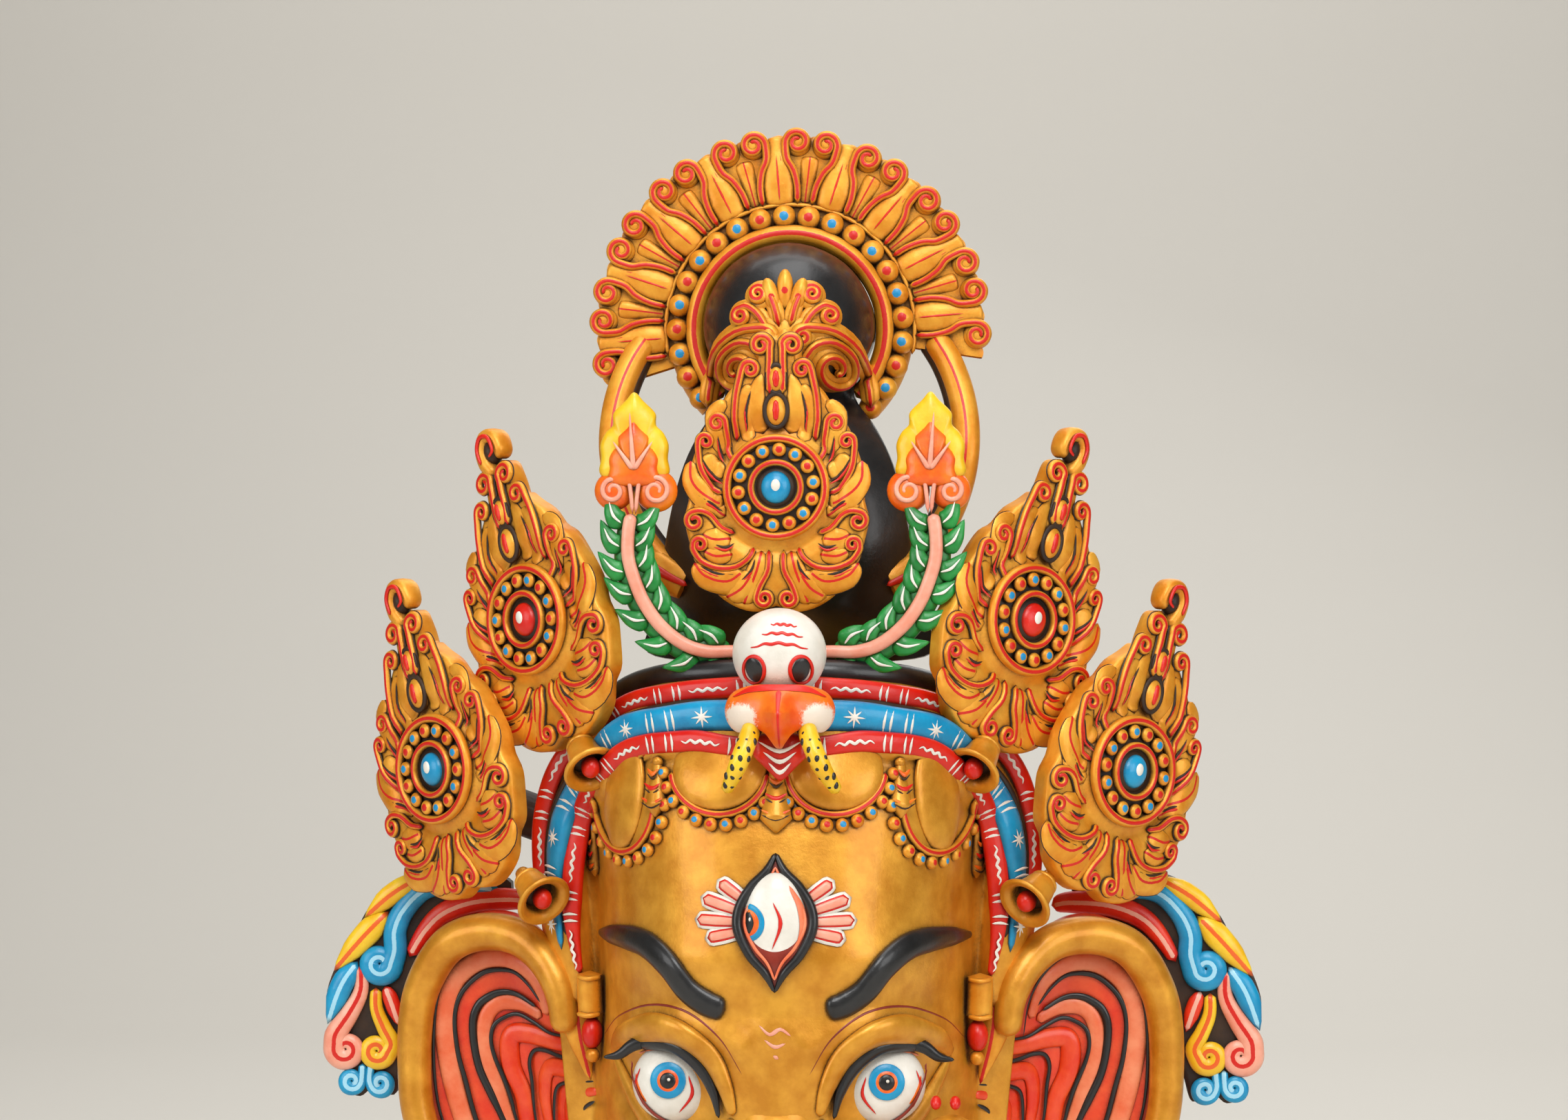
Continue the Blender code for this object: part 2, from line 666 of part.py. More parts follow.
def make_skull():
    """The skull with its hooked beak, two snakes and the pennant under it."""
    skull = ball("skull", at(1, SKULL_Z, SKULL_DEPTH), (SKULL_RADIUS, SKULL_RADIUS - 1, SKULL_RADIUS), 14, 8)
    beak = ball("beak", at(2, -119, SKULL_DEPTH + 14), (31, 17, 26), 12, 7)
    for v in beak.data.vertices:
        drop = max(0.0, 1 - abs(v.co.x / MM - 2) / 16)
        if v.co.z < -118 * MM and v.co.y < -(SKULL_DEPTH + 20) * MM:
            v.co.z -= 12 * drop * MM
            v.co.y -= 12 * drop * MM
    pieces = [beak]
    for side in (-1, 1):
        line = [(side * 13 + 2, -121, 24), (side * 19 + 2, -134, 40), (side * 26 + 3, -150, 40),
                (side * 33 + 4, -164, 32)]
        points = [at(x, z, SKULL_DEPTH + ahead) for x, z, ahead in open_curve(line, 2)]
        pieces.append(tube("snake", points, SNAKE_RADIUS, 1))
        socket = ball("socket", at(side * 13 + 1, SKULL_Z - 9, SKULL_DEPTH + 26), (5.5, 6.5, 6), 8, 5)
        boolean(skull, socket, "DIFFERENCE")
        bpy.data.objects.remove(socket, do_unlink=True)
    turn = Matrix.Translation(at(2, -146, SKULL_DEPTH + 19)) @ Matrix.Rotation(math.radians(90), 4, "X")
    pieces.append(plate("pennant", [(-17, 12), (17, 12), (17, 2), (0, -15), (-17, 2)], 10, turn))
    return join(skull, *pieces)


GARLAND = [(30, -88), (54, -87), (74, -68), (86, -44), (89, -20), (88, 0), (87, 14)]
GARLAND_LEAVES = 9


def garland_outline():
    """The leafy strip round the stem, then the finial leaf with its two curls."""
    spine = open_curve(GARLAND[:-1], 5)
    sides = []
    for hand in (1, -1):
        edge = []
        for i in range(1, len(spine) - 1):
            (x0, z0), (x1, z1) = spine[i - 1], spine[i + 1]
            run = math.hypot(x1 - x0, z1 - z0)
            tooth = (i * GARLAND_LEAVES / (len(spine) - 2)) % 1.0
            width = (9 + 7 * tooth) * (1 if hand > 0 else 0.9)
            across = hand * width / run
            edge.append((spine[i][0] + (z1 - z0) * across, spine[i][1] - (x1 - x0) * across))
        sides.append(edge)
    finial = [(104, 2), (106, 14), (102, 24), (108, 34), (101, 50), (88, 64), (76, 50), (68, 34), (73, 24),
              (69, 13), (73, 2)]
    return sides[0] + finial + list(reversed(sides[1]))


def make_garland(side):
    """A curling stem edged with leaves, with a leaf-shaped finial."""
    name = "garland_left" if side < 0 else "garland_right"
    outline = [(side * x, z) for x, z in garland_outline()]
    turn = Matrix.Translation(at(0, 0, GARLAND_DEPTH)) @ Matrix.Rotation(math.radians(90), 4, "X")
    strip = plate(name, outline, GARLAND_THICKNESS, turn)
    front = GARLAND_DEPTH + GARLAND_THICKNESS / 2
    line = [at(side * x, z, front + 1) for x, z in GARLAND]
    curls = [ball("curl", at(side * x, 14, front), (9, 9, 6), 8, 4) for x in (79, 97)]
    finial = ball("finial", at(side * 88, 38, front), (13, 24, 6), 8, 4)
    return join(strip, tube("stem", line, STEM_RADIUS, 1), finial, *curls)


EAR_OUTLINE = [
    (126, -322), (132, -292), (145, -270), (163, -254), (181, -250), (198, -254), (214, -263), (228, -281),
    (236, -305), (238, -338), (233, -374), (216, -408), (196, -440), (172, -462), (150, -458), (136, -430),
    (122, -396), (112, -355)]
EAR_RIM = [
    (132, -318, 78), (134, -297, 76), (140, -282, 72), (150, -270, 66), (163, -262, 60), (180, -260, 52),
    (196, -263, 48), (209, -271, 44), (220, -287, 40), (227, -307, 38), (229, -338, 38), (226, -373, 40),
    (212, -407, 42), (192, -437, 45), (169, -456, 50), (148, -450, 56)]


def ear_depth(x, z):
    """The dished ear rises towards the face."""
    rise = max(0.0, (172 - x) / 60)
    out = math.hypot((x - EAR_X) / 60, (z - EAR_Z) / 108)
    return 34 + 34 * rise ** 1.5 + 6 * min(out, 1.0) ** 4


def make_ear(side):
    """A dished ear with a rolled rim that ends in a curl beside the face."""
    shares = [1.0, 0.8, 0.5, 0.0]

    def place(share, angle):
        x, z = closed_point(EAR_OUTLINE, 0.5 - angle / math.tau)
        return EAR_X + (x - EAR_X) * share, EAR_Z + (z - EAR_Z) * share

    def front(ring, angle):
        x, z = place(shares[ring], angle)
        return at(side * x, z, ear_depth(x, z))

    def back(angle):
        x, z = place(1.0, angle)
        return at(side * x, z, EAR_BACK)

    ear = relief("ear_left" if side < 0 else "ear_right", 24, len(shares) - 1, front, back)
    rim = [at(side * x, z, depth) for x, z, depth in EAR_RIM]
    radii = [EAR_RIM_RADIUS * (0.72 if i in (0, len(rim) - 1) else 1.0) for i in range(len(rim))]
    fold = [(206, -300), (196, -335), (180, -360), (150, -372), (128, -376)]
    fold = [at(side * x, z, ear_depth(x, z)) for x, z in fold]
    return join(ear, tube("rim", rim, radii, 1), tube("fold", fold, 6, 1))


RIBBON_OUTLINE = [
    (170, -232), (196, -229), (224, -224), (244, -232), (262, -248), (272, -266), (283, -284), (290, -306),
    (284, -322), (276, -330), (281, -345), (276, -352), (280, -364), (268, -370), (258, -363), (246, -369),
    (240, -352), (226, -330), (205, -290), (182, -262)]
RIBBONS = [
    [(205, -236), (228, -234), (248, -246), (262, -262)],
    [(200, -250), (224, -250), (240, -266), (246, -284), (258, -285)],
    [(262, -262), (276, -282), (284, -306)],
    [(222, -282), (240, -302), (246, -324)],
    [(258, -296), (264, -318), (270, -336), (262, -344)],
    [(248, -352), (258, -358), (270, -358)]]


def make_ribbons(side):
    """The board of ribbon scrolls that flares out behind an ear."""
    name = "ribbon_left" if side < 0 else "ribbon_right"
    depth = RIBBON_THICKNESS - 7
    turn = Matrix.Translation(at(0, 0, depth / 2)) @ Matrix.Rotation(math.radians(90), 4, "X")
    count = 30
    outline = [closed_point(RIBBON_OUTLINE, i / count) for i in range(count)]
    board = plate(name, [(side * x, z) for x, z in outline], depth, turn)
    for line in RIBBONS:
        points = [at(side * x, z, RIBBON_THICKNESS - 5.8) for x, z in line]
        join(board, tube("ribbon", points, 5.8, 1))
    return board


def build():
    """Every piece, each fitted to the ones that carry it."""
    start()
    gold = material("gold_paint", (0.70, 0.42, 0.12), 0.35, 0.3)
    hair = material("black_lacquer", (0.02, 0.018, 0.016), 0.2)
    red = material("red_lacquer", (0.70, 0.06, 0.02), 0.3)
    green = material("green_lacquer", (0.02, 0.28, 0.07), 0.3)
    bone = material("bone_white_lacquer", (0.75, 0.70, 0.60), 0.3)
    blue = material("blue_lacquer", (0.01, 0.30, 0.58), 0.3)

    head = make_head()
    topknot = finish(fit(make_topknot(), head), hair)
    finish(fit(make_halo(), topknot), gold)
    middle = finish(fit(make_leaf("leaf_centre", *CENTRE_LEAF, CROWN_DEPTH), topknot), gold)
    skull = finish(fit(make_skull(), head, topknot, middle), bone)
    for inner_leaf, outer_leaf in zip(INNER_LEAVES, OUTER_LEAVES):
        side = inner_leaf[0]
        word = "left" if side < 0 else "right"
        length = 1.0 if side < 0 else BROKEN_TUSK
        finish(fit(make_tusk(side, length), head), bone)
        inner = make_leaf("leaf_inner_" + word, *inner_leaf)
        finish(fit(inner, head), gold)
        outer = make_leaf("leaf_outer_" + word, *outer_leaf)
        finish(fit(outer, head, inner), gold)
        finish(fit(make_garland(side), head, topknot, middle, skull, inner), green)
        ear = finish(fit(make_ear(side), head, outer), red)
        finish(fit(make_ribbons(side), head, ear, outer), blue)


build()
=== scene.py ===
"""Ganesha wall mask: carved wood in gold paint and coloured lacquers, with its studio stage.

Millimetres below become metres through MM. +X is the viewer's right, +Z up, and the front faces -Y.
A place is x, height and depth in front of the wall plane.
"""
import json
import math

import bmesh
import bpy
import numpy as np
from bpy.props import BoolProperty, FloatProperty, PointerProperty
from mathutils import Matrix, Vector

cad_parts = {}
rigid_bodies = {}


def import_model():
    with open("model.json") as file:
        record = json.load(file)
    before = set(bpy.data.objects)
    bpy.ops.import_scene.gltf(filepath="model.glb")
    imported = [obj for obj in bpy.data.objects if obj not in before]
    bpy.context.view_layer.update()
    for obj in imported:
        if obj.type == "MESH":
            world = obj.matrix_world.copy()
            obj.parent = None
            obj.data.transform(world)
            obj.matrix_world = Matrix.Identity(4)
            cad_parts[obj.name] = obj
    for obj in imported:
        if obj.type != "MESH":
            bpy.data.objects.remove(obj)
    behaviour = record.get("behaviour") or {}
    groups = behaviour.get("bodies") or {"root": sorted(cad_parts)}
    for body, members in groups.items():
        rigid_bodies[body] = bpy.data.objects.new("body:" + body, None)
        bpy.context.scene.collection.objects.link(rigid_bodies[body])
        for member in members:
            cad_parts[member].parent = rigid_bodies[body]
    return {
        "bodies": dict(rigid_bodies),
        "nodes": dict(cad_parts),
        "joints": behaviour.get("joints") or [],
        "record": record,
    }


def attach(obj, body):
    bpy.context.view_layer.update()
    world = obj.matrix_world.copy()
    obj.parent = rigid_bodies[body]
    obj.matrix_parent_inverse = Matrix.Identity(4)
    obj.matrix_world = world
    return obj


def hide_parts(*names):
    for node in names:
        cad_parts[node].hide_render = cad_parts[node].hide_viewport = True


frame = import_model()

bl_info = {
    "name": "Ganesha Mask",
    "version": (1, 0, 0),
    "blender": (4, 5, 0),
    "location": "View3D > Sidebar > Mask",
    "description": "Builds a carved and painted Ganesha wall mask and its studio stage",
    "category": "Add Mesh",
}

MM = 0.001
OUT = np.array((0.0, 0.0, 1.0))
NO_MARK = 99.0

# the head, as heights from the hanging point
HEAD_TOP = -97.0
CHIN = -572.0
HEAD_CENTRE = -310.0
HEAD_HALF_WIDTH = 152.0
FACE_HALF_WIDTH = 118.0
FACE_DEPTH = 184.0
SIDE_DEPTH = 76.0
EYE_X = 58.5
EYE_Z = -335.0
EYE_SIZE = (26.0, 24.0, 17.0)

# the crown and the halo
LEAF_HALF_WIDTH = 55.0
LEAF_UP = 95.0
LEAF_DOWN = 74.0
LEAF_THICKNESS = 17.0
LEAF_YAW = 40.0
LEAF_LEAN = 20.0
SIDE_LEAF_SCALE = 1.07
HALO_Z = 107.0
HALO_RADIUS = 122.0
DOME_RADIUS = 52.0
BEAD_CIRCLE = 69.0
BEAD_COUNT = 22
PETAL_STEP = 22.4

# the ears
EAR_X = 178.0
EAR_Z = -350.0
EAR_BACK = 22.0


# Curves

def smooth(points, steps=5):
    """Places of the smooth open curve through the given ones."""
    given = np.array(points, float)
    given = np.vstack([2 * given[0] - given[1], given, 2 * given[-1] - given[-2]])
    t = (np.arange(steps) / steps)[:, None]
    rows = [catmull(*given[i:i + 4], t) for i in range(len(given) - 3)]
    return np.vstack(rows + [given[-2:-1]])


def catmull(a, b, c, d, t):
    """The smooth curve between b and c."""
    return 0.5 * (2 * b + (c - a) * t + (2 * a - 5 * b + 4 * c - d) * t * t
                  + (3 * b - a - 3 * c + d) * t ** 3)


def outline_place(points, share):
    """Places at shares of the way round a smooth closed outline."""
    given = np.array(points, float)
    place = share % 1.0 * len(given)
    first = np.floor(place).astype(int)
    corners = [given[(first + k) % len(given)] for k in (-1, 0, 1, 2)]
    return catmull(*corners, (place - first)[:, None])


def mirrored(points):
    """A right-hand half outline, top to bottom, closed by its mirror image."""
    return list(points) + [(-x, *rest) for x, *rest in reversed(points[1:-1])]


def scroll(line, centre, radius, hand, turns=1.35):
    """A line that winds into a spiral about a centre."""
    first = math.atan2(line[-1][1] - centre[1], line[-1][0] - centre[0])
    winding = []
    for share in np.linspace(0, 1, int(9 * turns) + 2)[1:]:
        turn = first + hand * math.tau * turns * share
        reach = radius * (1 - 0.76 * share)
        winding.append((centre[0] + reach * math.cos(turn), centre[1] + reach * math.sin(turn)))
    return list(line) + winding


def circle(centre, radius, across=1.0, first=0.0, sweep=360.0, count=40):
    """Places round a circle or an arc of it."""
    turns = np.radians(first + sweep * np.arange(count + 1) / count)
    return [(centre[0] + across * radius * math.cos(a), centre[1] + radius * math.sin(a)) for a in turns]


# Meshes

def begin():
    """An empty mesh with the attribute that the paints read."""
    bm = bmesh.new()
    bm.verts.layers.float.new("mark")
    return bm


def patch(bm, columns, rows, place, paint, carry=None):
    """Add a grid; place turns its shares u and v into places and the mark attribute."""
    made = bmesh.ops.create_grid(bm, x_segments=columns, y_segments=rows, size=0.5)["verts"]
    share = np.array([v.co.xy[:] for v in made]) + 0.5
    spots, mark = place(share[:, 0], share[:, 1])
    spots = np.column_stack([spots[:, 0], -spots[:, 2], spots[:, 1]]) * MM
    if carry is not None:
        turn = np.array(carry.to_3x3())
        spots = spots @ turn.T + np.array(carry.translation)
    marks = bm.verts.layers.float["mark"]
    mark = np.broadcast_to(mark, len(made)).tolist()
    for v, spot, m in zip(made, spots.tolist(), mark):
        v.co = spot
        v[marks] = m
    if paint:
        for face in {f for v in made for f in v.link_faces}:
            face.material_index = paint


def unit(vectors):
    """Vectors of length one."""
    return vectors / np.maximum(np.linalg.norm(vectors, axis=-1, keepdims=True), 1e-9)


def surface_normal(surface, x, z):
    """Directions out of a surface given as a depth over x and height."""
    step = 1.5
    slope_x = (surface(x + step, z) - surface(x - step, z)) / (2 * step)
    slope_z = (surface(x, z + step) - surface(x, z - step)) / (2 * step)
    return unit(np.column_stack([-slope_x, -slope_z, np.ones_like(slope_x)]))


def depth_at(surface, x, z):
    """Depth of a surface at one place."""
    return float(surface(np.array([x * 1.0]), np.array([z * 1.0]))[0])


def normal_at(surface, x, z):
    """Direction out of a surface at one place."""
    return surface_normal(surface, np.array([x * 1.0]), np.array([z * 1.0]))[0]


def spread(rows, count):
    """Rows interpolated to a number of rows."""
    place = np.linspace(0, 1, count)
    given = np.linspace(0, 1, len(rows))
    return np.column_stack([np.interp(place, given, column) for column in np.asarray(rows, float).T])


def stroke(bm, line, width, paint=0, high=0.8, surface=None, lift=0.0, mark=0.0, steps=4, sides=8,
           closed=False, flat=1.0, taper=1.0, facing=OUT, carry=None):
    """A ridge along a smooth line, or a brush stroke when it is thin.

    width is the half-width in millimetres, one number or several along the line; mark is the half-width
    of the line painted on its crest; flat below 1 squares the section; facing is out of the wood, for the
    whole line or for its parts.
    """
    spine = smooth(line, steps)
    sides = 4 * round(sides / 4)
    width = spread(np.atleast_1d(width)[:, None], len(spine))[:, 0]
    normal = unit(spread(np.atleast_2d(np.asarray(facing, float)), len(spine)))
    if surface is not None:
        normal = surface_normal(surface, spine[:, 0], spine[:, 1])
        spine = np.column_stack([spine[:, :2], surface(spine[:, 0], spine[:, 1])]) + normal * lift
    elif spine.shape[1] == 2:
        spine = np.column_stack([spine, np.full(len(spine), lift)])
    tangent = unit(np.gradient(spine, axis=0))
    if closed:
        tangent[0] = tangent[-1] = unit(spine[1] - spine[-2])
    normal = unit(normal - tangent * np.sum(normal * tangent, axis=1, keepdims=True))
    across = np.cross(tangent, normal)
    run = np.concatenate([[0], np.cumsum(np.linalg.norm(np.diff(spine, axis=0), axis=1))])
    full = width
    if not closed:
        near = np.minimum(run, run[-1] - run)
        rounding = np.clip(near / np.maximum(width * taper, 1e-6), 0, 1)
        full = width * np.sqrt(1 - (1 - rounding) ** 2)

    def place(u, v):
        i = np.rint(v * (len(spine) - 1)).astype(int)
        turn = math.tau * u
        side = np.cos(turn)
        top = np.sign(np.sin(turn)) * np.abs(np.sin(turn)) ** flat
        spots = spine[i] + across[i] * (full[i] * side)[:, None] + normal[i] * (full[i] * high * top)[:,
                None]
        away = np.where(np.sin(turn) > -0.01, np.abs(side) * full[i], width[i] * 1.5)
        marks = away / mark if mark else NO_MARK
        return spots, marks

    patch(bm, sides, len(spine) - 1, place, paint, carry)


def dome(bm, spot, radii, paint=0, facing=OUT, mark=0.0, sides=16, rows=8, turn=0.0, carry=None):
    """An ellipsoid with radii across, up and out; mark is the radius of the dot painted on it."""
    out = unit(np.asarray(facing, float))
    across = unit(np.cross(np.array((0.0, 1.0, 0.0)), out)) if abs(out[1]) < 0.95 else np.array((1.0, 0, 0))
    up = np.cross(out, across)
    turn = math.radians(turn)
    across, up = (across * math.cos(turn) + up * math.sin(turn),
                  up * math.cos(turn) - across * math.sin(turn))

    def place(u, v):
        round_ = math.tau * u
        fall = math.pi * v
        side = np.sin(fall) * np.cos(round_) * radii[0]
        rise = np.sin(fall) * np.sin(round_) * radii[1]
        spots = (np.asarray(spot, float) + side[:, None] * across + rise[:, None] * up
                 + (np.cos(fall) * radii[2])[:, None] * out)
        marks = np.where(v < 0.5, np.hypot(side, rise) / mark, NO_MARK) if mark else NO_MARK
        return spots, marks

    patch(bm, sides, rows, place, paint, carry)


def lathe(bm, profile, paint, carry, sides=28, steps=3):
    """A profile of radius and height, from the axis back to the axis, turned about the height axis."""
    line = smooth(profile, steps)
    line[:, 0] = np.maximum(line[:, 0], 0)
    line[0, 0] = line[-1, 0] = 0

    def place(u, v):
        i = np.rint(v * (len(line) - 1)).astype(int)
        turn = math.tau * u
        spots = np.column_stack([line[i, 0] * np.cos(turn), line[i, 1], line[i, 0] * np.sin(turn)])
        return spots, NO_MARK

    patch(bm, sides, len(line) - 1, place, paint, carry)


def sided(name, side):
    """The name of one piece of a pair; left and right are the viewer's."""
    return name + ("_left" if side < 0 else "_right")


def finish(bm, node, paints):
    """The mesh becomes a piece that stands for a CAD node and takes its paints."""
    name = node + "_carved"
    bmesh.ops.remove_doubles(bm, verts=bm.verts, dist=0.000004)
    bmesh.ops.recalc_face_normals(bm, faces=bm.faces)
    mesh = bpy.data.meshes.new(name)
    bm.to_mesh(mesh)
    bm.free()
    mesh.shade_smooth()
    mesh.set_sharp_from_angle(angle=math.radians(62))
    piece = bpy.data.objects.new(name, mesh)
    bpy.context.scene.collection.objects.link(piece)
    for paint in paints:
        mesh.materials.append(paint_called(paint))
    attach(piece, "root")
    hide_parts(node)


# Paints

def linear(colour):
    """An sRGB hex colour as linear RGBA."""
    parts = [int(colour[i:i + 2], 16) / 255 for i in (1, 3, 5)]
    return (*[c / 12.92 if c <= 0.04045 else ((c + 0.055) / 1.055) ** 2.4 for c in parts], 1.0)


def add(tree, kind, inputs=None, **settings):
    """Add a node; inputs holds a value or a socket to link for each of its sockets."""
    made = tree.nodes.new(kind)
    for key, value in settings.items():
        setattr(made, key, value)
    for key, value in (inputs or {}).items():
        if isinstance(value, bpy.types.NodeSocket):
            tree.links.new(value, made.inputs[key])
        else:
            made.inputs[key].default_value = value
    return made


RED = "#D21604"
BLUE = "#1590C8"
WHITE = "#F2EDDF"
# name: base colour, lighter colour, mark colour, metallic, roughness, coat, depth of patina
PAINTS = {
    # bronze-powder paint brushed on carved wood and rubbed back: broad soft shine, brown in the hollows
    "gold_paint_red_lines": ("#E08A14", "#F6B23A", RED, 0.4, 0.36, 0.12, 0.9),
    "gold_paint_blue_dots": ("#E08A14", "#F6B23A", BLUE, 0.4, 0.36, 0.12, 0.9),
    "face_gold_paint": ("#CE8618", "#EDAA36", RED, 0.45, 0.33, 0.2, 0.95),
    # brushed enamels under clear lacquer: even colour, sharp small highlights, faint brush marks
    "red_enamel": ("#D20E00", "#E22408", WHITE, 0.0, 0.3, 0.15, 0.6),
    "red_enamel_pink_lines": ("#D81402", "#EC3A14", "#F6B8A0", 0.0, 0.3, 0.15, 0.6),
    "ear_red_enamel": ("#E82C02", "#FA5A26", RED, 0.0, 0.26, 0.25, 0.6),
    "salmon_enamel": ("#EE6A3C", "#FA966A", RED, 0.0, 0.32, 0.15, 0.6),
    "pink_enamel_red_lines": ("#EE9478", "#F8B69C", RED, 0.0, 0.32, 0.3, 0.5),
    "blue_enamel_pale_lines": ("#0086B8", "#0AA0D0", "#A4DCF2", 0.0, 0.28, 0.2, 0.6),
    "green_enamel_pale_lines": ("#04742A", "#1E9A40", "#D5EBD2", 0.0, 0.3, 0.15, 0.6),
    "yellow_enamel_orange_lines": ("#EFB60E", "#FAD428", "#EC6216", 0.0, 0.32, 0.3, 0.6),
    "orange_enamel": ("#EC5004", "#F8860E", RED, 0.0, 0.3, 0.3, 0.6),
    "orange_enamel_pale_lobes": ("#EC4C04", "#F8800E", "#F0E0CE", 0.0, 0.3, 0.3, 0.6),
    "white_enamel": ("#E4DFD2", "#F6F2E8", RED, 0.0, 0.28, 0.3, 0.45),
    "ink_lacquer": ("#0E0E0F", "#1E1E1F", WHITE, 0.0, 0.3, 0.3, 0.0),
    "rust_lacquer": ("#7A1C0E", "#98301A", WHITE, 0.0, 0.3, 0.3, 0.3),
    # dark brown of patina and bare wood, also used for painted shade in grooves, gaps, folds and openings
    "patina_shadow": ("#22130A", "#3E270F", RED, 0.1, 0.55, 0.1, 0.0),
}
PATINA = "#2C1606"


def paint_called(name):
    """The paint of that name, made when it is first asked for."""
    if name in bpy.data.materials:
        return bpy.data.materials[name]
    base, light, mark, metallic, roughness, coat, patina = PAINTS[name]
    made = bpy.data.materials.new(name)
    made.use_nodes = True
    tree = made.node_tree
    shader = tree.nodes["Principled BSDF"]
    spot = add(tree, "ShaderNodeTexCoord").outputs["Object"]
    # blotches of 20 mm where the coat is thicker, brush hairs of 1.5 mm and dust specks of 0.6 mm
    blotch = add(tree, "ShaderNodeTexNoise", {"Vector": spot, "Scale": 50.0, "Detail": 4.0,
                                              "Roughness": 0.6})
    hairs = add(tree, "ShaderNodeTexNoise", {"Vector": spot, "Scale": 650.0, "Detail": 3.0,
                                             "Roughness": 0.65})
    speck = add(tree, "ShaderNodeTexNoise", {"Vector": spot, "Scale": 1600.0, "Detail": 1.0})
    coat_share = add(tree, "ShaderNodeMapRange", {
        "Value": blotch.outputs["Fac"], "From Min": 0.35, "From Max": 0.68})
    ground = add(tree, "ShaderNodeMix", {
        0: coat_share.outputs[0], 6: linear(base), 7: linear(light)}, data_type="RGBA")
    marks = add(tree, "ShaderNodeAttribute", attribute_name="mark")
    ragged = add(tree, "ShaderNodeMath", {
        0: hairs.outputs["Fac"], 1: 0.5, 2: -0.25}, operation="MULTIPLY_ADD")
    edge = add(tree, "ShaderNodeMath", {0: marks.outputs["Fac"], 1: ragged.outputs[0]}, operation="ADD")
    line = add(tree, "ShaderNodeMapRange", {
        "Value": edge.outputs[0], "From Min": 0.92, "From Max": 1.08, "To Min": 1.0, "To Max": 0.0})
    painted = add(tree, "ShaderNodeMix", {
        0: line.outputs[0], 6: ground.outputs[2], 7: linear(mark)}, data_type="RGBA")
    # patina gathers where the carving closes in on itself within 7 mm
    open_ = add(tree, "ShaderNodeAmbientOcclusion", {"Distance": 0.007}, samples=6, only_local=True)
    hollow = add(tree, "ShaderNodeMath", {0: open_.outputs["AO"], 1: ragged.outputs[0]}, operation="ADD")
    dark = add(tree, "ShaderNodeMapRange", {
        "Value": hollow.outputs[0], "From Min": 0.3, "From Max": 0.74, "To Min": patina, "To Max": 0.0})
    aged = add(tree, "ShaderNodeMix", {
        0: dark.outputs[0], 6: painted.outputs[2], 7: linear(PATINA)}, data_type="RGBA")
    tree.links.new(aged.outputs[2], shader.inputs["Base Color"])
    dulled = add(tree, "ShaderNodeMath", {
        0: dark.outputs[0], 1: 0.35, 2: roughness}, operation="MULTIPLY_ADD")
    uneven = add(tree, "ShaderNodeMath", {
        0: blotch.outputs["Fac"], 1: 0.16, 2: dulled.outputs[0]}, operation="MULTIPLY_ADD")
    tree.links.new(uneven.outputs[0], shader.inputs["Roughness"])
    if metallic:
        bare = add(tree, "ShaderNodeMath", {0: dark.outputs[0], 1: line.outputs[0]}, operation="MAXIMUM")
        metal = add(tree, "ShaderNodeMapRange", {"Value": bare.outputs[0], "To Min": metallic,
                                                 "To Max": 0.0})
        tree.links.new(metal.outputs[0], shader.inputs["Metallic"])
    shader.inputs["Coat Weight"].default_value = coat
    shader.inputs["Coat Roughness"].default_value = 0.16
    wave = add(tree, "ShaderNodeMath", {
        0: blotch.outputs["Fac"], 1: 5.0, 2: hairs.outputs["Fac"]}, operation="MULTIPLY_ADD")
    rough = add(tree, "ShaderNodeMath", {
        0: speck.outputs["Fac"], 1: 0.3, 2: wave.outputs[0]}, operation="MULTIPLY_ADD")
    bump = add(tree, "ShaderNodeBump", {"Height": rough.outputs[0], "Strength": 0.35, "Distance": 0.0003})
    tree.links.new(bump.outputs[0], shader.inputs["Normal"])
    made.diffuse_color = linear(base)
    return made


# Head

HEAD_OUTLINE = mirrored([
    (0, HEAD_TOP), (62, HEAD_TOP - 2), (112, HEAD_TOP - 24), (0.96 * HEAD_HALF_WIDTH, -175),
    (HEAD_HALF_WIDTH, -235), (0.92 * HEAD_HALF_WIDTH, -300), (132, -370), (124, -440), (108, -500),
    (76, CHIN + 24), (0, CHIN)])
FRONT_BY_HEIGHT = [
    (HEAD_TOP, 0.56), (-110, 0.75), (-145, 0.87), (-180, 0.94), (-236, 1.0), (-285, 1.0), (-330, 0.94),
    (-380, 0.87), (-440, 0.83), (-500, 0.79), (-545, 0.67), (CHIN, 0.33)]
WIDTH_BY_HEIGHT = [
    (HEAD_TOP, 0.75), (-120, 0.97), (-150, 1.06), (-190, 1.03), (-240, 0.98), (-300, 0.98), (-345, 1.0),
    (-400, 1.04), (-450, 1.0), (-500, 0.86), (-545, 0.62), (CHIN, 0.3)]
BAND_BEND_Z = -150.0
BAND = [(0, -125), (52, -124), (84, -130), (108, -149), (128, -180), (137, -222), (131, -290)]


def by_height(pairs, z):
    """Interpolation in pairs of falling height and value, eased so that no crease shows."""
    heights, values = np.array(pairs[::-1]).T
    fine = np.linspace(heights[0], heights[-1], 120)
    level = np.interp(fine, heights, values)
    kernel = np.hanning(15) / np.hanning(15).sum()
    eased = np.convolve(np.pad(level, 7, mode="edge"), kernel, mode="valid")
    return np.interp(z, fine, eased)


def smooth_max(a, b, blend):
    """The larger of two heights, with a rounded step between them."""
    share = np.maximum(blend - np.abs(a - b), 0.0) / blend
    return np.maximum(a, b) + share * share * blend * 0.25


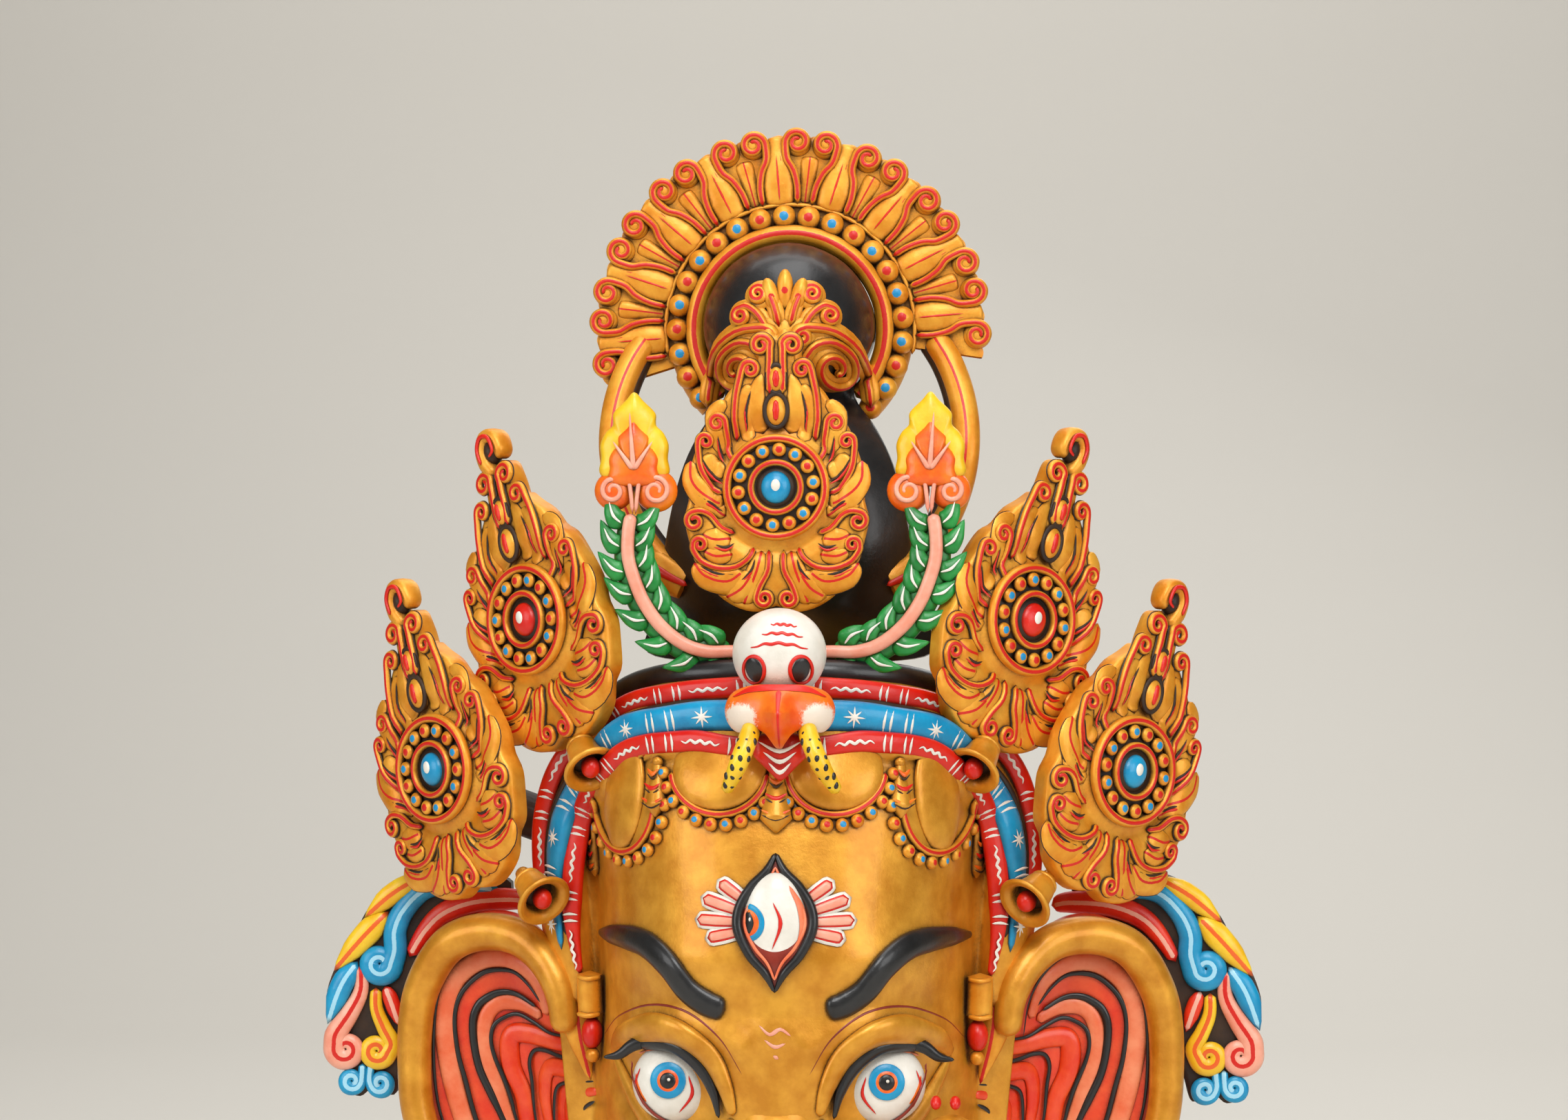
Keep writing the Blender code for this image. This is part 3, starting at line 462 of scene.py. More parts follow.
def away_from(points, x, z):
    """Distance of places from a line through points."""
    best = np.full(np.shape(x), 1e9)
    for (x0, z0), (x1, z1) in zip(points, points[1:]):
        dx, dz = x1 - x0, z1 - z0
        share = np.clip(((x - x0) * dx + (z - z0) * dz) / (dx * dx + dz * dz), 0, 1)
        best = np.minimum(best, np.hypot(x - x0 - share * dx, z - z0 - share * dz))
    return best


def head_depth(x, z):
    """Depth of the plain head: the face block over the broader sides."""
    share = np.minimum(np.abs(x) / (FACE_HALF_WIDTH * by_height(WIDTH_BY_HEIGHT, z)), 1.0)
    face = FACE_DEPTH * by_height(FRONT_BY_HEIGHT, z) * (1 - share ** 2.6) ** 0.44
    side = SIDE_DEPTH * (1 - np.minimum(np.abs(x) / (HEAD_HALF_WIDTH + 12), 1.0) ** 5) ** 0.5
    return smooth_max(face, side, 16.0)


def band_rise(z):
    """How far the headband stands out of the head, more where it runs down the sides."""
    return 7.0 + 9.0 * np.clip((BAND_BEND_Z - z) / 40.0, 0, 1)


def band_spot(x, z, lift):
    """A place on the headband."""
    return (x, z, depth_at(head_depth, x, z) + float(band_rise(z)) + lift)


def hump(x, z, cx, cz, wide, tall):
    """A soft swelling of height 1 about a place."""
    return np.exp(-((x - cx) / wide) ** 2 - ((z - cz) / tall) ** 2)


FOLDS = [
    # height, half-width, line: the folds of skin on the right half of the face
    (5.0, 9.0, [(22, -312), (34, -304), (56, -298), (84, -303), (104, -318), (111, -340)]),
    (4.5, 8.0, [(30, -364), (52, -372), (80, -370), (102, -356), (110, -338)]),
    (4.0, 9.0, [(24, -330), (28, -352), (34, -372), (60, -390), (92, -386)]),
    (3.0, 7.0, [(36, -392), (50, -412), (64, -430), (92, -432)])]


def face_depth(x, z):
    """The head with its brows, eye sockets, bridge and folds of skin."""
    wide = np.abs(x)
    depth = head_depth(x, z)
    depth = depth + 5.0 * hump(wide, z, 60, -262, 44, 16) + 6.0 * hump(x, z, 0, -302, 20, 22)
    depth = depth - 5.0 * hump(wide, z, EYE_X, EYE_Z, 40, 27) + 3.0 * hump(x, z, 0, -262, 15, 14)
    depth = depth + 15.0 * np.exp(-(x / 27.0) ** 2) * np.clip((-292 - z) / 55.0, 0, 1)
    for high, half, line in FOLDS:
        depth = depth + high * np.exp(-(away_from(line, wide, z) / half) ** 2)
    width = np.where(z > BAND_BEND_Z, 25.0, 17.0)
    return depth + band_rise(z) * np.clip((width - away_from(BAND, wide, z)) / 7.0, 0, 1)


def head_shell(bm):
    """The head from its middle out to the edge and round to the open back."""
    def place(u, v):
        edge = outline_place(HEAD_OUTLINE, u)
        share = np.interp(v, [0, 0.86, 1.0], [0.0, 1.0, 1.0])
        share = 1 - (1 - share) ** 1.12
        x = edge[:, 0] * share
        z = HEAD_CENTRE + (edge[:, 1] - HEAD_CENTRE) * share
        wall = np.interp(v, [0.86, 1.0], [0.0, 1.0])
        depth = face_depth(x, z) * (1 - wall)
        return np.column_stack([x, z, depth]), NO_MARK

    patch(bm, 220, 121, place, GOLD_FACE)
    hollow_back(bm)


def hollow_back(bm):
    """The flat border of the back and the egg-shaped hollow inside it."""
    half, tall, deep, border = 110.0, 199.5, 124.0, 0.12
    middle = (HEAD_TOP + CHIN) / 2 + 10

    def place(u, v):
        edge = outline_place(HEAD_OUTLINE, u)
        turn = np.arctan2((edge[:, 1] - middle) / tall, edge[:, 0] / half)
        rim = np.column_stack([half * np.cos(turn), middle + tall * np.sin(turn)])
        share = np.clip(v / border, 0, 1)[:, None]
        flat = edge * (1 - share) + rim * share
        fall = np.clip((v - border) / (1 - border), 0, 1) * math.pi / 2
        centre = np.array((0, middle))
        spots = np.where(v[:, None] <= border, flat, centre + (rim - centre) * np.cos(fall)[:, None])
        depth = np.where(v <= border, 0.0, deep * np.sin(fall))
        return np.column_stack([spots, depth]), NO_MARK

    patch(bm, 220, 17, place, SHADOW)


FACE_PAINTS = ["face_gold_paint", "ink_lacquer", "red_enamel", "white_enamel", "patina_shadow",
               "blue_enamel_pale_lines", "gold_paint_red_lines", "gold_paint_blue_dots",
               "pink_enamel_red_lines", "orange_enamel", "salmon_enamel", "rust_lacquer"]
GOLD_FACE, INK, SCARLET, IVORY, SHADOW, AZURE, GILT, GILT_BLUE, ROSE, ORANGE, SALMON, RUST = range(12)


def both(points, side):
    """A line given for the viewer's right, on the side asked for."""
    return [(side * p[0], *p[1:]) for p in points]


def globe_depth(x, z, centre):
    """Depth of the eyeball's front."""
    left = 1 - ((x - EYE_X) / EYE_SIZE[0]) ** 2 - ((z - EYE_Z) / EYE_SIZE[1]) ** 2
    return centre + EYE_SIZE[2] * np.sqrt(np.maximum(left, 0.002))


def eye(bm, side):
    """Eyeball with its painted rings, lids and the black lash line."""
    middle = depth_at(head_depth, EYE_X, EYE_Z) - 11.0

    def ball(x, z):
        return globe_depth(np.abs(x), z, middle)

    def lid(x, z):
        return np.maximum(face_depth(x, z), ball(x, z) - 1.0)

    dome(bm, (side * EYE_X, EYE_Z, middle), EYE_SIZE, IVORY, sides=56, rows=28)
    ix, iz = 62.5, -332.0
    front = float(globe_depth(ix, iz, middle))
    tilt = normal_at(ball, side * ix, iz)
    for reach, lift, paint in ((10.4, -0.6, AZURE), (7.0, -0.1, ORANGE), (5.0, 0.4, INK)):
        dome(bm, (side * ix, iz, front + lift), (reach, reach, 1.4), paint, sides=32, rows=8, facing=tilt)
    # a white dot of painted highlight on the pupil, set up and to the viewer's right on both eyes
    dome(bm, (side * ix + 0.6, iz + 0.8, front + 1.8), (1.0, 1.0, 0.6), IVORY, sides=12, rows=6,
         facing=tilt)
    upper = [(98, -322), (90, -311), (72, -302), (55, -303), (39, -314), (29, -331), (24, -350)]
    stroke(bm, both(upper, side), [3.0, 7.0, 9.0, 9.0, 8.0, 6.0, 2.5], GOLD_FACE, surface=face_depth,
           lift=1.5, high=0.62, sides=20, steps=8)
    # a thin dark line of painted shade in the crease above the lid
    crease_shade = [(108, -318), (95, -301), (74, -290), (52, -291), (32, -305), (19, -326)]
    stroke(bm, both(crease_shade, side), [0.2, 0.6, 0.8, 0.6, 0.2], RUST, surface=face_depth, lift=0.0, high=0.3,
           steps=8)
    lower = [(24, -352), (33, -363), (50, -368), (68, -363), (82, -350), (92, -334), (98, -322)]
    stroke(bm, both(lower, side), [2.5, 5.0, 6.5, 6.5, 6.0, 4.5, 2.5], GOLD_FACE, surface=face_depth,
           lift=0.8, high=0.7, sides=16, steps=8)
    lash = [(101, -321), (92, -319.5), (83, -313.5), (68.4, -310.3), (56, -312), (44, -321), (34.4, -336),
            (30.5, -352)]
    stroke(bm, both(lash, side), [0.8, 2.8, 3.8, 4.2, 4.2, 4.2, 3.6, 1.2], INK, high=0.7, surface=lid,
           lift=3.2, steps=8, sides=12)
    inside = [(81, -319), (68, -315), (56.5, -317), (47, -325), (38, -339), (32, -354)]
    stroke(bm, both(inside, side), [0.6, 1.5, 1.7, 1.7, 1.5, 0.6], SALMON, high=0.5, surface=ball, lift=0.3,
           steps=8)
    under = [(85, -323), (81, -336), (74, -348), (62, -356.5), (46, -359.5), (29, -356.5)]
    stroke(bm, both(under, side), [0.5, 0.8, 1.1, 1.3, 1.1, 0.5], RUST, high=0.6, surface=lid, lift=1.6,
           steps=8)
    dome(bm, (side * 33, -351, middle + 2), (7.5, 5.5, 6.0), SALMON, sides=20, rows=10)
    for line in ([(79, -326), (81.6, -336), (77, -348)], [(50.8, -329), (48.8, -340), (56.5, -351)]):
        stroke(bm, both(line, side), [0.3, 1.1, 0.3], SCARLET, 0.5, ball, 0.3, steps=6)
    for line in ([(39, -333), (37.5, -341), (40, -348)], [(82, -329), (80.5, -338), (75, -346)]):
        stroke(bm, both(line, side), [0.6, 2.0, 0.6], ORANGE, 0.25, ball, -0.1, steps=6)


def third_eye(bm):
    """The upright almond eye, its black frame and the petals beside it."""
    depth = depth_at(face_depth, 0, -236)
    for side in (-1, 1):
        for turn, reach in ((36, 41), (18.5, 45), (2, 46), (-13, 41)):
            ray = np.array((side * math.cos(math.radians(turn)), math.sin(math.radians(turn))))
            for start, cut, half, lift, paint in ((18, 0, 5.0, 1.0, IVORY), (20, 1.9, 3.4, 2.0, SCARLET),
                                                  (20, 3.0, 2.3, 2.9, ROSE)):
                reaches = (start, 0.5 * (start + reach), reach - cut)
                line = [tuple(np.array((0, -240)) + ray * r) for r in reaches]
                stroke(bm, line, [0.8 * half, half, half], paint, 0.27, face_depth, lift, steps=5, sides=12)

    def ball(x, z):
        return depth + 9 * np.sqrt(np.maximum(1 - (x / 18.5) ** 2 - ((z + 240) / 29) ** 2, 0.02))

    stroke(bm, [(0, -205), (0, -220), (0, -240), (0, -260), (0, -275)], [0.5, 13, 20, 13, 0.5], RUST, 0.06,
           face_depth, 3.0, steps=8, sides=16)
    dome(bm, (0, -240, depth), (18.5, 29, 9), IVORY, sides=44, rows=24)
    for radius, half, paint in ((9.2, 1.7, AZURE), (6.0, 1.9, ORANGE)):
        arc = circle((-16, -239), radius, 0.95, first=-84, sweep=168, count=12)
        stroke(bm, arc, half, paint, 0.2, ball, 0.2, steps=4, taper=0.1)
    stroke(bm, [(-15.2, -232.5), (-14.2, -239), (-15.2, -245.5)], [1.8, 3.0, 1.8], INK, 0.2, ball, 0.3,
           steps=6, taper=0.5)
    # a white dot of painted highlight on the pupil
    dome(bm, (-14, -237, float(ball(-14, -237.0)) + 0.8), (0.8, 1.2, 0.4), IVORY, sides=10)
    stroke(bm, [(-1, -227), (3.4, -239), (-1.5, -254)], [0.2, 1.2, 0.2], SCARLET, 0.5, ball, 0.3, steps=6)
    for line, half, paint in (([(8, -218), (15, -232), (15, -248), (7, -262)], 2.6, SALMON),
                              ([(12, -226), (17, -238), (15, -252)], 1.8, ORANGE)):
        stroke(bm, line, [0.3 * half, half, half, 0.3 * half], paint, 0.12, ball, 0.1, steps=6)
    for side in (-1, 1):
        frame = both([(0, -201), (5, -211), (13.5, -220), (20, -232), (20.5, -244), (14, -257), (5, -267),
                      (0, -278)], side)
        stroke(bm, frame, [1.2, 2.5, 2.8, 3.0, 3.0, 2.8, 2.4, 0.8], INK, 0.9, face_depth, 4.0, steps=6,
               sides=12)
        inner = [(x * 0.79, -240 + (z + 240) * 0.8) for x, z in frame]
        stroke(bm, inner, [0.6, 1.0, 1.0, 1.0, 0.6], SALMON, 0.6, face_depth, 4.6, steps=6)


STRAPS = [
    # line on the band, half-widths, paint, sideways facing along the line, lift at its start and its end
    ([(14, -107.5), (28.7, -108.5), (47, -110), (66.8, -113), (84.8, -117), (98.6, -124), (110, -134)],
     [6.2], SCARLET, [0], (9.0, 3.0)),
    ([(118, -140), (131, -149.5), (140, -163.5), (145.5, -181), (148, -199), (147, -222), (142, -240)],
     [5.6], SCARLET, [0.1], (0.5, 0.5)),
    ([(16, -124), (28.7, -124), (47, -125), (67, -128.5), (82, -131.5), (93, -135.5), (104, -145),
      (123, -172), (132.6, -190), (137, -214), (137.6, -236), (134, -268)], [9.2, 9.2, 9.4, 9.4, 9.0, 2.0],
     AZURE, [0, 0, 0.6, 1.2, 1.5], (3.5, 0.5)),
    ([(17, -141.5), (29.6, -140.5), (46.6, -138.5), (61.5, -139.5), (76.5, -141.5), (89.7, -146),
      (101, -155), (112.6, -169), (120.5, -186.5), (125.4, -212.7), (127.3, -238.5), (126, -260),
      (122, -282)], [5.5, 6.4, 6.4, 6.6, 6.8, 6.6, 2.0], SCARLET, [0, 0, 0.2, 0.45], (0.5, 0.5))]


HAIR_LINE = [(0, -100), (30, -100.5), (52, -102), (72, -104.5), (92, -111), (107, -122), (119, -134)]


def headband(bm):
    """The hair line, dark strokes of painted shade in the gaps between the straps, and three painted straps
    with bars, waves and stars in white.
    """
    for side in (-1, 1):
        # dark strokes of painted shade along the gaps between the straps
        for shaded_gap in ([(10, -116), (47, -117), (67, -120.5), (84, -124.5), (99, -131), (112, -143)],
                     [(122, -156), (133, -171), (140, -190), (142.8, -215), (140, -246)],
                     [(10, -133.5), (47, -132), (67, -134.5), (84, -138.5), (97, -147), (110, -161),
                      (121, -179), (128, -200), (131.8, -226), (130, -262)]):
            stroke(bm, [band_spot(side * x, z, -1.0) for x, z in shaded_gap], 2.6, SHADOW, 0.8, steps=6, sides=8)
        hair = [(side * x, z, depth_at(head_depth, x, z) + 3) for x, z in HAIR_LINE]
        stroke(bm, hair, [8, 8, 8, 8, 7.5, 6], INK, 0.9, steps=5, sides=16, taper=0.2)
        for line, half, paint, turned, lifts in STRAPS:
            spaced = np.linspace(*lifts, len(line))
            place = [band_spot(side * x, z, lift) for (x, z), lift in zip(line, spaced)]
            facing = [(side * t, 0, 1) for t in turned]
            stroke(bm, place, half, paint, 0.55, steps=6, sides=12, flat=0.6, taper=0.5, facing=facing)
            motifs(bm, place, max(half), facing)


def motifs(bm, line, half, facing):
    """White bars, then a wave or a star, then bars again, spaced along a strap."""
    path = smooth(line, 16)
    gaps = np.concatenate([[0], np.cumsum(np.linalg.norm(np.diff(path, axis=0), axis=1))])
    ahead = unit(np.gradient(path, axis=0))
    out = unit(spread(np.asarray(facing, float), len(path)))
    out = unit(out - ahead * np.sum(out * ahead, axis=1, keepdims=True))
    table = np.hstack([path, np.cross(ahead, out), out])

    def spot(run, share):
        row = np.array([np.interp(run, gaps, column) for column in table.T])
        rise = 0.55 * half * (1 - share * share) ** 0.3 + 0.05
        return row[:3] + row[3:6] * share * half + row[6:] * rise

    def brush(places, width):
        way = [np.interp(places[len(places) // 2][0], gaps, column) for column in table[:, 6:].T]
        stroke(bm, [spot(run, share) for run, share in places], width, IVORY, 0.5, steps=3, sides=4,
               facing=way)

    centre = 27.0
    while centre < gaps[-1] - 14:
        for offset in (-21.5, -17.5, 17.5, 21.5):
            if 3 < centre + offset < gaps[-1] - 4:
                brush([(centre + offset + 0.8, -0.78), (centre + offset, 0), (centre + offset + 0.8, 0.78)],
                      [0.3, 0.85, 0.4])
        if half > 8:
            for turn in range(0, 180, 45):
                reach = 6.4 if turn % 90 == 0 else 5.4
                dx, dy = reach * math.cos(math.radians(turn)), reach * math.sin(math.radians(turn)) / half
                brush([(centre - dx, -dy), (centre, 0), (centre + dx, dy)], [0.25, 0.85, 0.25])
        else:
            brush([(centre + 3.0 * k, 0.12 * (-1) ** k) for k in range(-4, 5)], [0.3, 0.9, 0.9, 0.3])
        centre += 52.0


def on_face(x, z, lift=0.0):
    """A place on the face and the way out of the wood there."""
    return (x, z, depth_at(face_depth, x, z) + lift), normal_at(face_depth, x, z)


def swags(bm):
    """Gold swag plates under the band, their bead strings and pointed pendants."""
    for side in (-1, 1):
        for cx, cz, across, tall, swell in ((33, -154, 28, 26, 7.5), (91, -171, 21, 33, 5)):
            spot, tilt = on_face(side * cx, cz, -1.5)
            dome(bm, spot, (across, tall, swell), GOLD_FACE, facing=tilt, sides=36, rows=14)
            arc = circle((0, 0), 1.0, first=186, sweep=168, count=11)
            rim = [(side * cx + x * across, cz + z * tall) for x, z in arc]
            stroke(bm, rim, 2.4, GILT, 0.9, face_depth, 1.6, mark=0.9, steps=3)
            for i, (x, z) in enumerate(arc):
                spot, tilt = on_face(side * cx + x * (across + 5.2), cz + z * (tall + 5.2), 2.4)
                dome(bm, spot, (4.1, 4.1, 3.4), GILT if i % 2 else GILT_BLUE, facing=tilt, mark=1.8,
                     sides=14, rows=6)
    for x, top, drop, half in ((0, -150, 40, 9.5), (69, -147, 36, 7.0), (-69, -147, 36, 7.0),
                               (112, -192, 32, 5.0), (-112, -192, 32, 5.0)):
        tiers = [(x, top), (x, top - 0.3 * drop), (x, top - 0.55 * drop), (x, top - 0.8 * drop),
                 (x, top - drop)]
        stroke(bm, tiers, [0.45 * half, 0.5 * half, 0.8 * half, half, 0.8], GOLD_FACE, 0.8, face_depth, 2.0,
               steps=8, sides=16)
        for k, share in enumerate((0.3, 0.52, 0.74)):
            z, reach = top - share * drop, (0.45 + 0.22 * k) * half
            tick = [(x - reach, z + 1.5), (x, z - 1.5), (x + reach, z + 1.5)]
            stroke(bm, tick, [0.4, 1.5, 0.4], SCARLET if k % 2 else ORANGE, 0.5, face_depth,
                   2.0 + 0.62 * half, sides=8)
            # a dark stroke of painted shade under each tick
            stroke(bm, [(px, pz - 2.6) for px, pz in tick], [0.3, 0.6, 0.3], SHADOW, 0.5, face_depth,
                   2.2 + 0.6 * half, sides=8)


def brow(bm, side):
    """The thick black eyebrow."""
    line = [(110, -257), (99, -254), (85, -253), (73, -255.5), (61, -264.5), (50, -278), (39, -285.5),
            (28, -289)]
    stroke(bm, both(line, side), [1.5, 5.5, 7.4, 7.8, 8.0, 7.8, 7.6, 6.6], INK, 0.55, face_depth, 1.6,
           steps=8, sides=20, taper=0.7)


TRUNK = [(0, -318, 150, 22), (0, -360, 158, 27), (-2, -410, 170, 31), (4, -452, 176, 29),
         (26, -486, 178, 26), (62, -500, 176, 24), (98, -482, 173, 22), (116, -442, 171, 20.5),
         (114, -402, 170, 19.5), (99, -364, 168, 18), (96, -350, 168, 15)]


def trunk(bm):
    """The trunk, ringed with shallow folds, curls up at the viewer's right."""
    path = smooth(TRUNK, 12)
    share = np.linspace(0, 1, len(path))
    radii = path[:, 3] * (1 + 0.022 * np.cos(share * math.tau * 19) * np.clip(share * 5 - 0.6, 0, 1))
    stroke(bm, path[:, :3], radii, GOLD_FACE, 1.0, steps=1, sides=40, taper=0.7)
    # dark strokes of painted shade lie in the folds
    for i in range(14, len(path) - 5, 7):
        centre = path[i, :3]
        ahead = unit(path[i + 1, :3] - path[i - 1, :3])
        out = unit(OUT - ahead * np.dot(OUT, ahead))
        side = np.cross(ahead, out)
        turns = np.radians(np.linspace(25, 155, 9))
        ring = [centre + (side * math.cos(a) + out * math.sin(a)) * (radii[i] - 0.2) for a in turns]
        stroke(bm, ring, [0.2, 0.7, 0.9, 0.7, 0.2], SHADOW, 0.5, steps=3, sides=6, facing=out)
    tip = path[-1, :3] + np.array((0, 4, 0))
    for side in (-1, 1):
        dome(bm, tip + np.array((side * 5.5, 4, 5)), (3.2, 4.5, 3), SCARLET, sides=14, facing=(0, 0.7, 0.7))


def mouth(bm):
    """Lips, the opening between them filled with painted shade, and the teeth."""
    for line, half in (([(84, -446), (56, -462), (20, -470)], 6.0),
                       ([(78, -458), (52, -492), (20, -508)], 8.0)):
        full = line + [(-x, z) for x, z in reversed(line)]
        stroke(bm, full, half, SCARLET, 0.85, face_depth, 0.5, steps=8, sides=16)
    # a dark stroke of painted shade stands for the open mouth
    dark = [(72, -455), (50, -474), (18, -488), (-18, -488), (-50, -474), (-72, -455)]
    stroke(bm, dark, [3, 7, 9, 9, 7, 3], SHADOW, 0.4, face_depth, 0.0, steps=6, sides=12)
    for x in (-40, -30, 30, 40, 50, -50):
        depth = depth_at(face_depth, abs(x), -474) + 3
        dome(bm, (x, -470 - (55 - abs(x)) * 0.25, depth), (4.4, 5.5, 3.5), IVORY, sides=14)


def bells(bm):
    """Four gold bells, mouths tipped forward, with red clappers."""
    profile = [(0, 24), (4, 23), (5.5, 17), (9, 12), (11, 3), (14.5, -5), (16.4, -7), (14.5, -8.4),
               (10.6, -5), (9, 2), (0, 4)]
    for side in (-1, 1):
        for x, z, depth, turn, tip in ((114, -153, 114, -30, -52), (146, -233, 92, -38, -60)):
            place = Matrix.Translation(Vector((side * x, -depth, z)) * MM)
            place = place @ Matrix.Rotation(math.radians(side * turn), 4, "Z")
            place = place @ Matrix.Rotation(math.radians(tip), 4, "X")
            lathe(bm, profile, GOLD_FACE, place)
            # a dark disc of painted shade inside the bell's mouth
            dome(bm, (0, 1.5, 0), (9.4, 3.0, 9.4), SHADOW, carry=place, sides=20)
            dome(bm, (0, -5, 0), (5.6, 6.6, 6.4), SCARLET, carry=place, sides=20)
            turns = np.linspace(0, math.tau, 29)
            for radius, height, half in ((15.6, -7.0, 1.6), (7.2, 14.5, 1.5)):
                ring = [(radius * math.cos(a), height, radius * math.sin(a)) for a in turns]
                stroke(bm, ring, half, GOLD_FACE, 1.0, steps=1, closed=True, facing=(0, 1, 0), carry=place)


def ear_drops(bm):
    """Gold cap, red bead and gold leaf that hang beside each cheek."""
    for side in (-1, 1):
        stroke(bm, both([(121, -270, 74), (125, -290, 72), (123, -318, 74), (116, -346, 80)], side),
               [2, 8, 9, 1], GILT, 0.45, steps=6, sides=16, mark=1.0)
        stroke(bm, both([(116, -279, 86), (116, -293, 86), (115, -307, 86)], side), 7.6, GILT, 0.9, steps=6,
               sides=24, taper=0.25)
        for z in (-282, -304):
            stroke(bm, both([(108.5, z, 90), (116, z - 1, 94), (123.5, z, 90)], side), 1.5, GILT, 1.0,
                   steps=5, sides=8)
        dome(bm, (side * 114.5, -316, 87), (6.4, 9.5, 8), SCARLET, sides=24, rows=12)
        dome(bm, (side * 114, -329, 88), (4.5, 4.5, 4.5), GILT, sides=16)


def brow_sign(bm):
    """A small plain mark of three strokes between the brows."""
    for points in ([(-9, -297), (-3, -302), (3, -299), (9, -303)], [(-6, -305), (0, -309), (6, -307)],
                   [(-1, -314), (2, -316)]):
        stroke(bm, points, [0.4, 1.2, 0.5], ROSE, 0.4, face_depth, 0.2, sides=8)


def brackets(bm):
    """Stubs behind the crown that carry the side leaves."""
    for side in (-1, 1):
        stroke(bm, both([(92, -150, 46), (140, -100, 42)], side), 16, SHADOW, 1.0, steps=6, sides=20)
        stroke(bm, both([(120, -205, 32), (192, -180, 22)], side), 14, SHADOW, 1.0, steps=6, sides=20)


def make_face():
    """The head block with all that is carved in one with it."""
    bm = begin()
    head_shell(bm)
    headband(bm)
    swags(bm)
    third_eye(bm)
    trunk(bm)
    mouth(bm)
    bells(bm)
    ear_drops(bm)
    brow_sign(bm)
    brackets(bm)
    for side in (-1, 1):
        eye(bm, side)
        brow(bm, side)
    finish(bm, "mask_face", FACE_PAINTS)


TUSK, BAND_PAINT = range(2)


def make_tusks():
    """One whole tusk and, as tradition has it, one broken short."""
    for side, length in ((-1, 1.0), (1, 0.42)):
        bm = begin()
        reach = [(0, 0, 0), (7, -10, 26), (15, -18, 50), (24, -18, 72)]
        line = [(side * (56 + x * length), -436 + z * length, 128 + d * length) for x, z, d in reach]
        end = 3.0 if length == 1.0 else 6.0
        stroke(bm, line, [10, 9.0, 7.5, end], TUSK, 1.0, steps=10, sides=28, facing=(0, 1, 0), taper=0.9)
        for share, half in ((0.3, 10.2), (0.42, 10.0)):
            spine = smooth(line, 10)
            i = int((share if length == 1.0 else share + 0.2) * (len(spine) - 1))
            ahead = unit(spine[i + 1] - spine[i - 1])
            up = unit(np.array((0, 1.0, 0)) - ahead * ahead[1])
            over = np.cross(ahead, up)
            turns = np.linspace(0, math.tau, 25)
            ring = [spine[i] + (over * math.cos(a) + up * math.sin(a)) * half * 0.95 for a in turns]
            stroke(bm, ring, 1.5, BAND_PAINT, 1.0, steps=2, closed=True, facing=ahead)
        finish(bm, sided("tusk", side), ["white_enamel", "gold_paint_red_lines"])


# Crown leaves

LEAF_OUTLINE = mirrored([
    (0, LEAF_UP), (9, 0.95 * LEAF_UP), (12, 0.8 * LEAF_UP), (0.36 * LEAF_HALF_WIDTH, 0.68 * LEAF_UP),
    (0.66 * LEAF_HALF_WIDTH, 0.5 * LEAF_UP), (0.86 * LEAF_HALF_WIDTH, 0.24 * LEAF_UP),
    (LEAF_HALF_WIDTH, -0.1 * LEAF_DOWN), (0.94 * LEAF_HALF_WIDTH, -0.42 * LEAF_DOWN),
    (0.79 * LEAF_HALF_WIDTH, -0.73 * LEAF_DOWN), (0.43 * LEAF_HALF_WIDTH, -0.95 * LEAF_DOWN),
    (0, -LEAF_DOWN)])
LEAF_LOBES = 10
LEAF_PAINTS = ["gold_paint_red_lines", "gold_paint_blue_dots", "patina_shadow", "red_enamel",
               "blue_enamel_pale_lines", "white_enamel"]
GOLD, GOLD_DOTS, DARK, RED_GLASS, BLUE_GLASS, GLINT = range(6)
LEAF_RIDGES = [
    # line, spiral centre, spiral radius, hand and half-width of the ridges on the right half
    ([(3.5, 55), (4.5, 66), (4, 76), (4, 83)], (9.5, 85), 6.4, -1, 2.5),
    ([(24, 27), (25.7, 40), (24.8, 55), (22.4, 66)], (16, 70.5), 5.6, 1, 2.3),
    ([(25.5, 15), (29, 21), (30.5, 29), (31, 37)], (36.4, 38.5), 5.4, -1, 2.1),
    ([(31, -4), (41, 1), (46.5, 11), (48, 22)], (43.5, 27.5), 5.0, 1, 2.0),
    ([(25, -27), (34, -25), (41, -17), (46, -14)], (50.2, -20), 6.0, -1, 2.1),
    ([(14, -36), (16.5, -42), (25, -47.5), (36, -48), (46, -44), (51, -38)], (47, -34), 4.8, 1, 2.0),
    ([(4.6, -37), (4.8, -49), (9.5, -58), (12, -65)], (7.2, -66), 5.2, -1, 2.2)]
